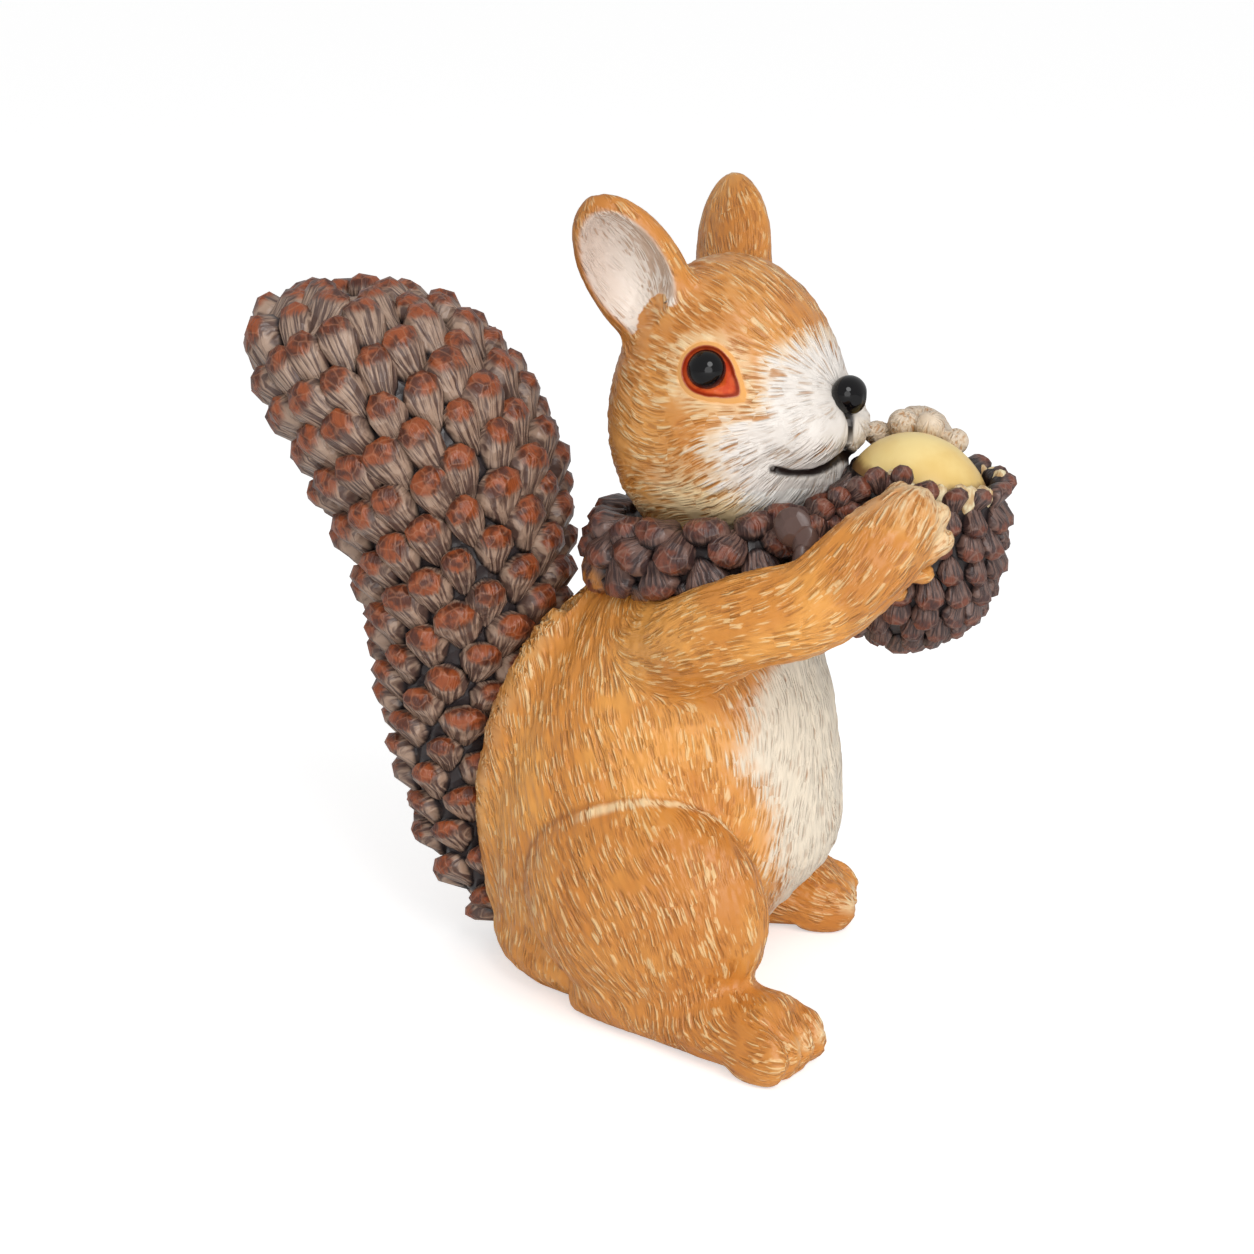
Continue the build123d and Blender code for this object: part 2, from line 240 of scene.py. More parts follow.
def throughRows(rows, count=240):
    table = np.array(rows, float)
    knots, values = table[:, 0], table[:, 1:]
    slopes = np.gradient(values, knots, axis=0)
    at = np.linspace(knots[0], knots[-1], count)
    low = np.clip(np.searchsorted(knots, at, side="right") - 1, 0, len(knots) - 2)
    span = (knots[low + 1] - knots[low])[:, None]
    t = (at - knots[low])[:, None] / span
    curve = (
        (2 * t**3 - 3 * t**2 + 1) * values[low]
        + (t**3 - 2 * t**2 + t) * span * slopes[low]
        + (3 * t**2 - 2 * t**3) * values[low + 1]
        + (t**3 - t**2) * span * slopes[low + 1]
    )
    return at, curve


def readRows(rows, share):
    return (np.interp(share, rows[0], column) for column in rows[1].T)


def softMin(first, second, reach):
    overlap = np.maximum(reach - np.abs(first - second), 0) / reach
    return np.minimum(first, second) - overlap**2 * reach / 4


def softMax(first, second, reach):
    return -softMin(-first, -second, reach)


def ovalField(across, along, halfAcross, halfAlong):
    q = np.sqrt((across / halfAcross) ** 2 + (along / halfAlong) ** 2) + 1e-6
    slope = np.sqrt((across / halfAcross**2) ** 2 + (along / halfAlong**2) ** 2) + 1e-6
    return (q - 1) * q / slope


def lumpField(points, centre, radii, turn=None):
    local = points - np.array(centre)
    if turn:
        local = local @ np.array(Euler([radians(angle) for angle in turn]).to_matrix())
    radii = np.array(radii, float)
    q = np.sqrt(((local / radii) ** 2).sum(1)) + 1e-6
    return (q - 1) * q / (np.sqrt(((local / radii**2) ** 2).sum(1)) + 1e-6)


def chainField(points, route, radii):
    best = np.full(len(points), 1e3)
    for start, end, first, second in zip(route, route[1:], radii, radii[1:]):
        step = end - start
        t = np.clip(((points - start) @ step) / (step @ step), 0, 1)
        gap = np.linalg.norm(points - start - t[:, None] * step, axis=1)
        best = np.minimum(best, gap - first - t * (second - first))
    return best


farAway = 40.0


def nearBox(field, points, low, high, margin=12.0):
    near = ((points > np.array(low) - margin) & (points < np.array(high) + margin)).all(1)
    values = np.full(len(points), farAway)
    values[near] = np.minimum(field(points[near]), farAway)
    return values


torsoFacts = {
    "height": 112.0,
    "width": 76.0,
    "depth": 84.0,
    # rise, set back, half width and half depth of each section
    "sections": (
        (0, 0.11, 0.32, 0.27), (0.045, 0.126, 0.395, 0.335), (0.16, 0.084, 0.44, 0.4), (0.325, 0.004, 0.5, 0.49),
        (0.435, -0.01, 0.5, 0.486), (0.555, -0.018, 0.474, 0.464), (0.63, -0.03, 0.46, 0.436),
        (0.715, -0.048, 0.434, 0.386), (0.79, -0.08, 0.405, 0.34), (0.86, -0.11, 0.355, 0.29),
        (0.94, -0.15, 0.27, 0.24), (1, -0.165, 0.215, 0.2),
    ),
    # ridge of fur that laps over the tail's root, on each side
    "lap": ((15, 17, 97), (17, 20, 88), (19, 26, 76), (18.5, 32, 62), (17, 36, 48), (15, 37, 34), (13, 36.5, 20)),
    "lapRadii": (2.4, 4.0, 5.0, 5.0, 4.5, 3.6, 2.4),
}
headFacts = {
    "base": 107.0,
    "height": 64.5,
    "width": 55.0,
    "length": 56.0,
    "nape": 11.0,
    "turn": 12.0,
    "neck": (0.0, -13.86, 0.0),
    # distance from the nape, rise of the centre, half width and half height of each section
    "sections": (
        (0, 0.41, 0.08, 0.09), (0.06, 0.425, 0.25, 0.26), (0.17, 0.46, 0.4, 0.4), (0.3, 0.495, 0.48, 0.47),
        (0.44, 0.51, 0.5, 0.493), (0.58, 0.505, 0.48, 0.478), (0.7, 0.49, 0.42, 0.43), (0.81, 0.475, 0.325, 0.345),
        (0.89, 0.465, 0.24, 0.245), (0.96, 0.458, 0.17, 0.14), (1, 0.465, 0.09, 0.065),
    ),
    "muzzle": (
        ((-6.4, -36.6, 135.6), (9.4, 9.2, 7.6)),
        ((6.4, -36.6, 135.6), (9.4, 9.2, 7.6)),
        ((0, -35.0, 125.6), (8.5, 8.0, 5.6)),
    ),
    # the groove under the nose and one side of the mouth, cut into the muzzle
    "groove": ((0, -45.6, 140.5), (0, -45.0, 136.0), (0, -44.0, 130.0)),
    "mouth": ((0, -44.0, 130.8), (5, -43.6, 128.9), (9.5, -41.2, 127.7), (12.6, -38.4, 127.9), (15.0, -35.4, 129.3)),
    "mouthRadii": (1.2, 0.9, 0.7, 0.55, 0.45),
}
earFacts = {
    "radii": (6.0, 11.25, 19.75),
    "wall": 2.6,
    "lean": 24.0,
    "backLean": 20.0,
    "turn": 14.0,
    "centre": (20.0, -3.4, 168.5),
}
armFacts = {
    "thickness": 22.0,
    "reach": 66.0,
    "rise": 32.0,
    "base": 93.0,
    "width": 76.0,
    # out, forward and up along each arm, and its radius
    "right": (
        (0.25, 0.03, -0.19, 0.36), (0.415, 0.27, -0.02, 0.47), (0.462, 0.485, 0.2, 0.47),
        (0.45, 0.7, 0.36, 0.45), (0.395, 0.87, 0.69, 0.44), (0.325, 0.95, 0.9, 0.34),
    ),
    "left": (
        (0.25, 0.03, -0.19, 0.36), (0.415, 0.27, -0.02, 0.47), (0.465, 0.46, 0.32, 0.51),
        (0.43, 0.64, 0.62, 0.47), (0.345, 0.75, 0.9, 0.42), (0.28, 0.8, 1.14, 0.34),
    ),
    # each finger's root, tip and radius
    "rightFingers": (
        ((-24.5, -58.5, 117.0), (-21.2, -60.4, 126.9), 2.5), ((-25.0, -62.5, 118.0), (-21.6, -65.0, 125.6), 2.6),
        ((-25.0, -65.0, 117.0), (-21.8, -69.0, 122.9), 2.6), ((-25.0, -65.5, 114.0), (-21.8, -70.2, 117.6), 2.5),
        ((-24.5, -62.0, 110.5), (-21.0, -66.0, 110.0), 2.2), ((-24.5, -57.0, 107.5), (-20.6, -60.6, 105.4), 1.9),
    ),
    "leftFingers": (
        ((20.0, -45.5, 128.0), (12.4, -45.6, 131.9), 2.8), ((20.5, -51.0, 130.0), (12.0, -51.4, 134.6), 3.3),
        ((20.5, -56.5, 130.5), (12.0, -57.6, 134.6), 3.3), ((20.5, -60.0, 128.5), (13.4, -63.2, 131.2), 2.9),
    ),
}
legFacts = {
    "thighCentre": (33.06, -7.98, 31.0),
    "thighRadii": (15.0, 30.0, 26.5),
    "thighTurn": 8.0,
    "heel": (27.36, 10.92),
    "footTurn": 15.0,
    "length": 63.0,
    "width": 22.0,
    "height": 18.0,
    "leftBack": 15.0,
    # distance from the heel, half width and half height of each section
    "sections": (
        (0, 0.2, 0.25), (0.12, 0.36, 0.42), (0.45, 0.44, 0.47), (0.75, 0.5, 0.5), (0.9, 0.45, 0.44), (0.96, 0.3, 0.3),
    ),
    "sunk": 0.8,
    "toes": 4,
    "toeSpacing": 5.06,
    "toeSize": (7.3, 17.0, 14.4),
}
torsoRows, headRows, footRows = (throughRows(facts["sections"]) for facts in (torsoFacts, headFacts, legFacts))
headTurned = np.array(Matrix.Rotation(-radians(headFacts["turn"]), 3, "Z"))


def lapField(points):
    folded = np.abs(points * (1, 0, 0)) + points * (0, 1, 1)
    return chainField(folded, np.array(torsoFacts["lap"], float), torsoFacts["lapRadii"])


def torsoField(points):
    height, width, depth = (torsoFacts[name] for name in ("height", "width", "depth"))
    back, halfWidth, halfDepth = readRows(torsoRows, points[:, 2] / height)
    field = ovalField(points[:, 0], points[:, 1] - back * depth, halfWidth * width, halfDepth * depth)
    return softMax(softMin(field, lapField(points), 7), points[:, 2] - height, 4)


def inHead(points):
    return (points - headFacts["neck"]) @ headTurned + headFacts["neck"]


def fromHead(points):
    return (points - np.array(headFacts["neck"])) @ headTurned.T + headFacts["neck"]


def headField(points):
    points = inHead(points)
    nape, length, height = (headFacts[name] for name in ("nape", "length", "height"))
    rise, halfWidth, halfHeight = readRows(headRows, (nape - points[:, 1]) / length)
    upright = points[:, 2] - headFacts["base"] - rise * height
    field = ovalField(points[:, 0], upright, halfWidth * headFacts["width"], halfHeight * height)
    field = softMax(softMax(field, points[:, 1] - nape, 3), nape - length - points[:, 1], 3)
    for lump in headFacts["muzzle"]:
        field = softMin(field, lumpField(points, *lump), 4)
    return field


def mouthField(points):
    other = [(-x, y, z) for x, y, z in headFacts["mouth"]]
    lines = [fromHead(np.array(line, float)) for line in (headFacts["groove"], other, headFacts["mouth"])]

    def tubes(near):
        return np.min([chainField(near, line, headFacts["mouthRadii"][: len(line)]) for line in lines], axis=0)

    return nearBox(tubes, points, (-24, -50, 122), (14, -26, 142))


def earPlace(side):
    x, y, z = earFacts["centre"]
    turned = Matrix.Rotation(radians(-earFacts["backLean"]), 3, "X")
    turned = turned @ Matrix.Rotation(radians(side * earFacts["lean"]), 3, "Y")
    turned = turned @ Matrix.Rotation(radians(-side * earFacts["turn"]), 3, "Z")
    return fromHead(np.array((side * x, y, z))), headTurned @ np.array(turned)


def scoopField(local, side):
    thick, wide, high = earFacts["radii"]
    wall = earFacts["wall"]
    return lumpField(local, (side * thick, 0, wall), (2 * thick - wall, wide - wall, high - 2 * wall))


def earField(points, side):
    centre, turned = earPlace(side)
    local = (points - centre) @ turned
    return softMax(lumpField(local, (0, 0, 0), earFacts["radii"]), -scoopField(local, side), 2)


def armRoute(side):
    rows = armFacts["right" if side < 0 else "left"]
    out, forward, up, thick = throughRows([(index, *row) for index, row in enumerate(rows)], 22)[1].T
    across = side * armFacts["width"] * out
    route = np.stack((across, -armFacts["reach"] * forward, armFacts["base"] + armFacts["rise"] * up), 1)
    return route, armFacts["thickness"] * thick


def fingersOf(side):
    rows = armFacts["rightFingers" if side < 0 else "leftFingers"]
    return [(np.array(root), np.array(tip), radius) for root, tip, radius in rows]


def armField(points, side):
    field = chainField(points, *armRoute(side))
    for root, tip, radius in fingersOf(side):
        field = softMin(field, chainField(points, (root, tip), (radius, radius)), 1.2)
    return field


def heelOf(side):
    x, y = legFacts["heel"]
    return side * x, y + (legFacts["leftBack"] if side > 0 else 0), 0


def footField(points, side):
    turn = radians(side * legFacts["footTurn"])
    local = points - np.array(heelOf(side))
    along = local[:, 0] * sin(turn) - local[:, 1] * cos(turn)
    across = local[:, 0] * cos(turn) + local[:, 1] * sin(turn)
    up = points[:, 2]
    width, height, length, sunk = (legFacts[name] for name in ("width", "height", "length", "sunk"))
    halfWidth, halfHeight = readRows(footRows, along / length)
    field = ovalField(across, up - height * halfHeight + sunk, halfWidth * width, halfHeight * height)
    field = softMax(softMax(field, -along, 3), along - length * 0.96, 3)
    local = np.stack((across, along, up), 1)
    radii = tuple(size / 2 for size in legFacts["toeSize"])
    for index in range(legFacts["toes"]):
        out = legFacts["toeSpacing"] * (index - (legFacts["toes"] - 1) / 2)
        field = softMin(field, lumpField(local, (out, length - radii[1], radii[2] - sunk), radii), 1.0)
    return field


def thighLump(side):
    x, y, z = legFacts["thighCentre"]
    back = legFacts["leftBack"] if side > 0 else 0
    return (side * x, y + back, z), legFacts["thighRadii"], (0, 0, side * legFacts["thighTurn"])


def legField(points, side):
    return softMin(lumpField(points, *thighLump(side)), footField(points, side), 4)


# one field for each piece of the skin, in the order of skinNodes
def partFields(points):
    fields = [
        nearBox(torsoField, points, (-39, -43, 0), (39, 45, 112)),
        nearBox(headField, points, (-30, -51, 107), (28, 12, 172)),
    ]
    for field, low, high in (
        (earField, (10, -24, 146), (40, 16, 190)),
        (armField, (8, -76, 76), (47, 2, 136)),
        (legField, (16, -56, -2), (52, 38, 58)),
    ):
        for side in (-1, 1):
            spread = (low[0], high[0]) if side > 0 else (-high[0], -low[0])
            box = ((spread[0], *low[1:]), (spread[1], *high[1:]))
            fields.append(nearBox(lambda near: field(near, side), points, *box))
    return np.stack(fields)


def bodyField(points):
    torso, head, rightEar, leftEar, rightArm, leftArm, rightLeg, leftLeg = partFields(points)
    field = softMin(softMin(torso, rightLeg, 1.6), leftLeg, 1.6)
    field = softMin(softMin(field, rightArm, 9), leftArm, 9)
    skull = softMin(softMin(head, rightEar, 5), leftEar, 5)
    skull = softMax(skull, -mouthField(points), 1.2)
    return softMax(softMin(field, skull, 5), -points[:, 2], 1.2)


def slopeOf(field, points, step=0.1):
    corners = np.array(((1, 1, 1), (1, -1, -1), (-1, 1, -1), (-1, -1, 1)), float)
    return sum(corner * field(points + corner * step)[:, None] for corner in corners) / (4 * step)


def settle(points, rounds):
    for turn in range(rounds):
        slope = slopeOf(bodyField, points)
        steep = (slope**2).sum(1) + 1e-6
        move = -bodyField(points) / steep
        move = np.clip(move * np.sqrt(steep), -2.5, 2.5) / np.sqrt(steep)
        points = points + slope * move[:, None]
    return points


# Body: rough lumps are remeshed into one skin, which then settles on the field


def addLump(bm, centre, radii, turned=None):
    made = bmesh.ops.create_icosphere(bm, subdivisions=3, radius=1)["verts"]
    place = Matrix.Translation(centre) @ (turned.to_4x4() if turned else Matrix.Identity(4))
    bmesh.ops.transform(bm, matrix=place @ Matrix.Diagonal((*radii, 1)), verts=made)
    return made


def addRoughEar(bm, side):
    centre, turned = earPlace(side)
    ear = addLump(bm, (0, 0, 0), earFacts["radii"])
    thick, wide, high = earFacts["radii"]
    wall = earFacts["wall"]
    for vert in ear:
        x, y, z = vert.co
        inside = 1 - (y / (wide - wall)) ** 2 - ((z - wall) / (high - 2 * wall)) ** 2
        if x * side > -0.5 and inside > 0:
            vert.co.x = side * (thick - (2 * thick - wall) * inside**0.5)
    place = Matrix.Translation(centre) @ Matrix(turned.tolist()).to_4x4()
    bmesh.ops.transform(bm, matrix=place, verts=ear)


def addRoughBody(bm):
    height, width, depth = (torsoFacts[name] for name in ("height", "width", "depth"))
    for share in np.linspace(0.06, 0.95, 16):
        back, halfWidth, halfDepth = readRows(torsoRows, share)
        addLump(bm, (0, back * depth, share * height), (halfWidth * width, halfDepth * depth, 9))
    for share in np.linspace(0.08, 0.94, 14):
        rise, halfWidth, halfHeight = readRows(headRows, share)
        centre = (0, headFacts["nape"] - share * headFacts["length"], headFacts["base"] + rise * headFacts["height"])
        radii = (halfWidth * headFacts["width"], 6, halfHeight * headFacts["height"])
        addLump(bm, fromHead(np.array(centre)), radii, Matrix(headTurned.tolist()))
    for centre, radii in headFacts["muzzle"]:
        addLump(bm, fromHead(np.array(centre)), radii)
    for side in (-1, 1):
        for centre, radius in zip(*armRoute(side)):
            addLump(bm, centre, (radius,) * 3)
        for root, tip, radius in fingersOf(side):
            for share in (0, 0.25, 0.5, 0.75, 1):
                addLump(bm, root + (tip - root) * share, (radius,) * 3)
        centre, radii, turn = thighLump(side)
        addLump(bm, centre, radii, Matrix.Rotation(radians(turn[2]), 3, "Z"))
        turn = Matrix.Rotation(radians(side * legFacts["footTurn"]), 3, "Z")
        for share in np.linspace(0.1, 0.9, 9):
            halfWidth, halfHeight = readRows(footRows, share)
            rise = legFacts["height"] * halfHeight
            ahead = turn @ Vector((0, -share * legFacts["length"], rise - legFacts["sunk"]))
            addLump(bm, Vector(heelOf(side)) + ahead, (legFacts["width"] * halfWidth, 7, rise), turn)
        addRoughEar(bm, side)
    geom = bm.verts[:] + bm.edges[:] + bm.faces[:]
    bmesh.ops.bisect_plane(bm, geom=geom, plane_co=(0, 0, 0.2), plane_no=(0, 0, -1), clear_outer=True)
    bmesh.ops.holes_fill(bm, edges=[edge for edge in bm.edges if edge.is_boundary])


def meshWith(mesh, kind, **settings):
    base = newObject("rough", mesh)
    modifier = base.modifiers.new("shape", kind)
    for name, value in settings.items():
        setattr(modifier, name, value)
    shaped = bpy.data.meshes.new_from_object(base.evaluated_get(bpy.context.evaluated_depsgraph_get()))
    bpy.data.objects.remove(base)
    return shaped


def coordinates(mesh):
    points = np.empty(len(mesh.vertices) * 3)
    mesh.vertices.foreach_get("co", points)
    return points.reshape(-1, 3)


def setCoordinates(mesh, points):
    mesh.vertices.foreach_set("co", np.ascontiguousarray(points, float).ravel())
    mesh.update()


def spreadEvenly(points, pairs, share):
    total = np.zeros_like(points)
    number = np.bincount(pairs.ravel(), minlength=len(points))[:, None]
    for column in range(3):
        for here, there in (pairs.T, pairs.T[::-1]):
            total[:, column] += np.bincount(here, points[there, column], len(points))
    return points + (total / number - points) * share


skinFacts = {"voxel": 1.22, "rounds": 4}


def makeSkin(facts):
    bm = bmesh.new()
    addRoughBody(bm)
    mesh = bpy.data.meshes.new("rough")
    bm.to_mesh(mesh)
    bm.free()
    mesh = meshWith(mesh, "REMESH", mode="VOXEL", voxel_size=facts["voxel"])
    pairs = np.empty(len(mesh.edges) * 2, int)
    mesh.edges.foreach_get("vertices", pairs)
    points = coordinates(mesh)
    for turn in range(facts["rounds"]):
        points = spreadEvenly(settle(points, 2), pairs.reshape(-1, 2), 0.5)
    setCoordinates(mesh, settle(points, 2))
    smooth = meshWith(mesh, "SUBSURF", levels=1, render_levels=1)
    setCoordinates(smooth, settle(coordinates(smooth), 1))
    return smooth


skinMesh = makeSkin(skinFacts)
print("skin made", len(skinMesh.vertices))

# Fur: strokes run along the flow

random = np.random.default_rng(11)


def wobble(reach):
    return reach * (random.random() - 0.5)


def unit(vectors):
    return vectors / (np.linalg.norm(vectors, axis=1)[:, None] + 1e-9)


def smoothStep(values, low, high):
    share = np.clip((values - low) / (high - low), 0, 1)
    return share * share * (3 - 2 * share)


def armFlow(points, side):
    route = armRoute(side)[0]
    nearest = ((points[:, None, :] - route[None]) ** 2).sum(2).argmin(1)
    return unit(np.gradient(route, axis=0)[nearest])


def legFlow(points, side):
    middle = thighLump(side)[0][1]
    rise = np.clip((points[:, 2] - 16) / 40, 0, 1)
    ahead = np.clip((middle + 22 - points[:, 1]) / 40, 0, 1)
    down = np.stack((side * 0.1 + 0 * rise, -0.25 - 1.3 * rise * (1 - ahead), -1 + 0 * rise), 1)
    turn = radians(side * legFacts["footTurn"])
    forward = np.array((sin(turn), -cos(turn), -0.1))
    onFoot = np.clip((18 - points[:, 2]) / 8, 0, 1) * np.clip((middle - 12 - points[:, 1]) / 12, 0, 1)
    return unit(down) * (1 - onFoot)[:, None] + forward * onFoot[:, None]


def flowField(points):
    fields = partFields(points)
    weights = np.exp(-np.clip(fields - fields.min(0), 0, 40) / 2.5)
    nose = fromHead(np.array((0, -48.0, 144.0)))
    torsoFlow = np.stack((points[:, 0] * 0.006, -0.22 - 0 * points[:, 1], -1 + 0 * points[:, 2]), 1)
    headFlow = unit(points - nose) + np.array((0, 0.0, -0.25)) * np.clip((145 - points[:, 2:3]) / 30, 0, 1)
    flows = [torsoFlow, headFlow]
    flows += [np.tile(earPlace(side)[1][:, 2], (len(points), 1)) for side in (-1, 1)]
    flows += [makeFlow(points, side) for makeFlow in (armFlow, legFlow) for side in (-1, 1)]
    return unit(sum(weight[:, None] * unit(flow) for weight, flow in zip(weights, flows)))


def gridOf(values, low, cell):
    return {"values": values, "low": np.array(low, float), "cell": cell}


def readGrid(grid, points, wrap=False):
    place = (points - grid["low"]) / grid["cell"]
    floor = np.floor(place).astype(int)
    part = place - floor
    size = np.array(grid["values"].shape[:3])
    result = 0
    for corner in np.ndindex(2, 2, 2):
        index = floor + corner
        index = index % size if wrap else np.clip(index, 0, size - 1)
        share = np.prod(np.where(np.array(corner) == 1, part, 1 - part), axis=1)
        value = grid["values"][tuple(index.T)]
        result = result + (share[:, None] * value if value.ndim == 2 else share * value)
    return result


furFacts = {
    "height": 0.16,
    "grain": 0.8,
    "reach": 3.4,
    "step": 0.5,
    # cells of the grid that holds the flow, its reach from the skin, and how far and how fast it wanders
    "cell": 2.5,
    "near": 6,
    "wander": 1.1,
    "wanderCell": 14.0,
    # lump in which the far paw's strokes are flattened, lump in which it is pale, and depth behind the lids
    "farPaw": ((14, -55, 133), (9, 14, 9)),
    "farPawPale": ((14, -55, 134), (9, 14, 8)),
    "hollow": 2.2,
}


def makeFlowGrid(points, facts):
    cell = facts["cell"]
    low, high = points.min(0) - 4, points.max(0) + 4
    shape = np.ceil((high - low) / cell).astype(int) + 1
    steps = [start + cell * np.arange(count) for start, count in zip(low, shape)]
    centres = np.stack(np.meshgrid(*steps, indexing="ij"), -1).reshape(-1, 3)
    near = np.abs(bodyField(centres)) < facts["near"]
    spots = centres[near]
    slopes = unit(slopeOf(bodyField, spots, 0.5))
    lattices = [gridOf(random.random((24,) * 3) - 0.5, (0, 0, 0), facts["wanderCell"]) for axis in range(3)]
    wander = np.stack([readGrid(lattice, spots, True) for lattice in lattices], 1)
    found = flowField(spots) + wander * facts["wander"]
    found -= slopes * (found * slopes).sum(1)[:, None]
    flows = np.zeros_like(centres)
    flows[near] = unit(found)
    return gridOf(flows.reshape(*shape, 3), low, cell)


def strokesOver(points, flowGrid, facts):
    lattice = gridOf(random.random((64,) * 3), (0, 0, 0), facts["grain"])
    total = readGrid(lattice, points, True)
    number = 1
    for way in (-1, 1):
        walk = points.copy()
        for turn in range(int(facts["reach"] / facts["step"])):
            walk = walk + way * facts["step"] * readGrid(flowGrid, walk)
            total = total + readGrid(lattice, walk, True)
            number += 1
    strokes = total / number
    return (strokes - strokes.mean()) / strokes.std()


# Eyes: an almond of lids round each bead

eyeFacts = {
    "bead": (22.8, -23.2, 150.4),
    "radius": 4.2,
    # the bead's rise over the middle of the lids
    "lift": 0.2,
    # angle from the front corner and reach of the lids' edge
    "almond": (
        (-180, 5.1), (-135, 5.3), (-90, 5.4), (-60, 6.1), (-38, 7.8), (-27, 9.0), (-16, 7.8),
        (0, 6.3), (20, 5.7), (45, 5.2), (90, 5.1), (135, 5.1), (180, 5.1),
    ),
}


def eyeFrame(side):
    x, y, z = eyeFacts["bead"]
    middle = fromHead(np.array((side * x, y, z)))
    out = unit(slopeOf(headField, middle[None]))[0]
    ahead = headTurned @ np.array((0, -1.0, 0))
    ahead = unit((ahead - out * (ahead @ out))[None])[0]
    up = np.cross(ahead, out)
    return middle, ahead, up if up[2] > 0 else -up, out


def almondReach(angles):
    table = np.array(eyeFacts["almond"], float)
    turned = (np.degrees(angles) + 180) % 360 - 180
    fine = np.linspace(-180, 180, 145)
    reach = np.interp(fine, table[:, 0], table[:, 1])
    for turn in range(2):
        reach = (np.roll(reach, 1) + 2 * reach + np.roll(reach, -1)) / 4
    return np.interp(turned, fine, reach)


def eyeShare(points, side):
    middle, ahead, up, out = eyeFrame(side)
    away = points - middle
    along, rise = away @ ahead, away @ up
    share = np.hypot(along, rise) / almondReach(np.arctan2(rise, along))
    return np.where(np.abs(away @ out) < 9, share, 9.0)


paleFacts = {
    # rise, and how far back the white of the muzzle comes there
    "muzzle": (
        (112, -36), (120, -33), (127, -29), (133, -28), (139, -30.5),
        (145, -33.5), (153, -37.5), (159, -43), (165, -52),
    ),
    # rise, and how far out the white of the belly comes there
    "belly": ((14, -4), (22, 6), (30, 14), (40, 21), (54, 22), (65, 26), (77, 22), (86, 14), (94, 6), (100, -2)),
    # strength, route, radius and fade of each cream patch
    "cream": (
        (0.8, ((-23, -60.5, 127), (-23, -65, 126), (-23, -69, 123), (-23, -71, 118)), 1.5, 5.5),
        (1.0, ((15, -45, 131), (14, -50, 136), (14, -58, 136), (15, -64, 132)), 7.0, 5.0),
        (0.5, ((-27, -54, 119), (-27, -62, 122)), 4.0, 7),
        (0.7, ((-44, -51, 9), (-40, -53, 9), (-36, -53, 9), (-31, -52, 8)), 0.5, 5),
        (0.7, ((44, -36, 9), (40, -38, 9), (36, -38, 9), (31, -37, 8)), 0.5, 5),
        (0.55, ((-27, -20, 118), (-22, -4, 116), (-10, 6, 116), (10, 6, 116), (22, -4, 116)), 1.5, 6),
    ),
    # how strong the cream is along the tail, the thighs (a painted highlight along their top front edge), the jaw and
    # muzzle, round the eyes, on the head and ears
    "lap": 0.25,
    "thigh": 0.75,
    "jaw": 0.85,
    "muzzleCream": 0.75,
    "lids": 0.6,
    "head": 0.2,
    "ear": 0.5,
    "farPaw": 0.75,
    # brown of the crown and the haunches
    "crown": 0.25,
    "haunch": 0.4,
}


def whitesOver(points, onHead, eyeShares):
    head = inHead(points)
    rises, backs = np.array(paleFacts["muzzle"], float).T
    ahead = np.interp(head[:, 2], rises, backs) - head[:, 1]
    muzzle = smoothStep(ahead, -12, 7) * onHead * smoothStep(eyeShares, 1.1, 2.2)
    rises, outs = np.array(paleFacts["belly"], float).T
    inside = np.interp(points[:, 2], rises, outs) - np.abs(points[:, 0])
    belly = smoothStep(inside, -8, 7) * smoothStep(points[:, 1], -10, -20) * smoothStep(points[:, 2], 98, 88)
    return muzzle, belly * (1 - onHead)


def cupsOver(points, labels):
    cup, shade = np.zeros((2, len(points)))
    for side, label in ((-1, 2), (1, 3)):
        centre, turned = earPlace(side)
        local = (points - centre) @ turned
        inside = (labels == label) * smoothStep(scoopField(local, side), 1.2, 0.1) * smoothStep(local[:, 2], -15, -7)
        cup = np.maximum(cup, inside)
        # painted shade that grows across the cup
        shade = shade + inside * smoothStep(-local[:, 1], -6, 8)
    return cup, 1.2 - 2.4 * shade


def addAttribute(mesh, name, values):
    kind, channel = ("FLOAT_VECTOR", "vector") if values.ndim == 2 else ("FLOAT", "value")
    layer = mesh.attributes.new(name, kind, "POINT")
    layer.data.foreach_set(channel, np.ascontiguousarray(values, np.float32).ravel())


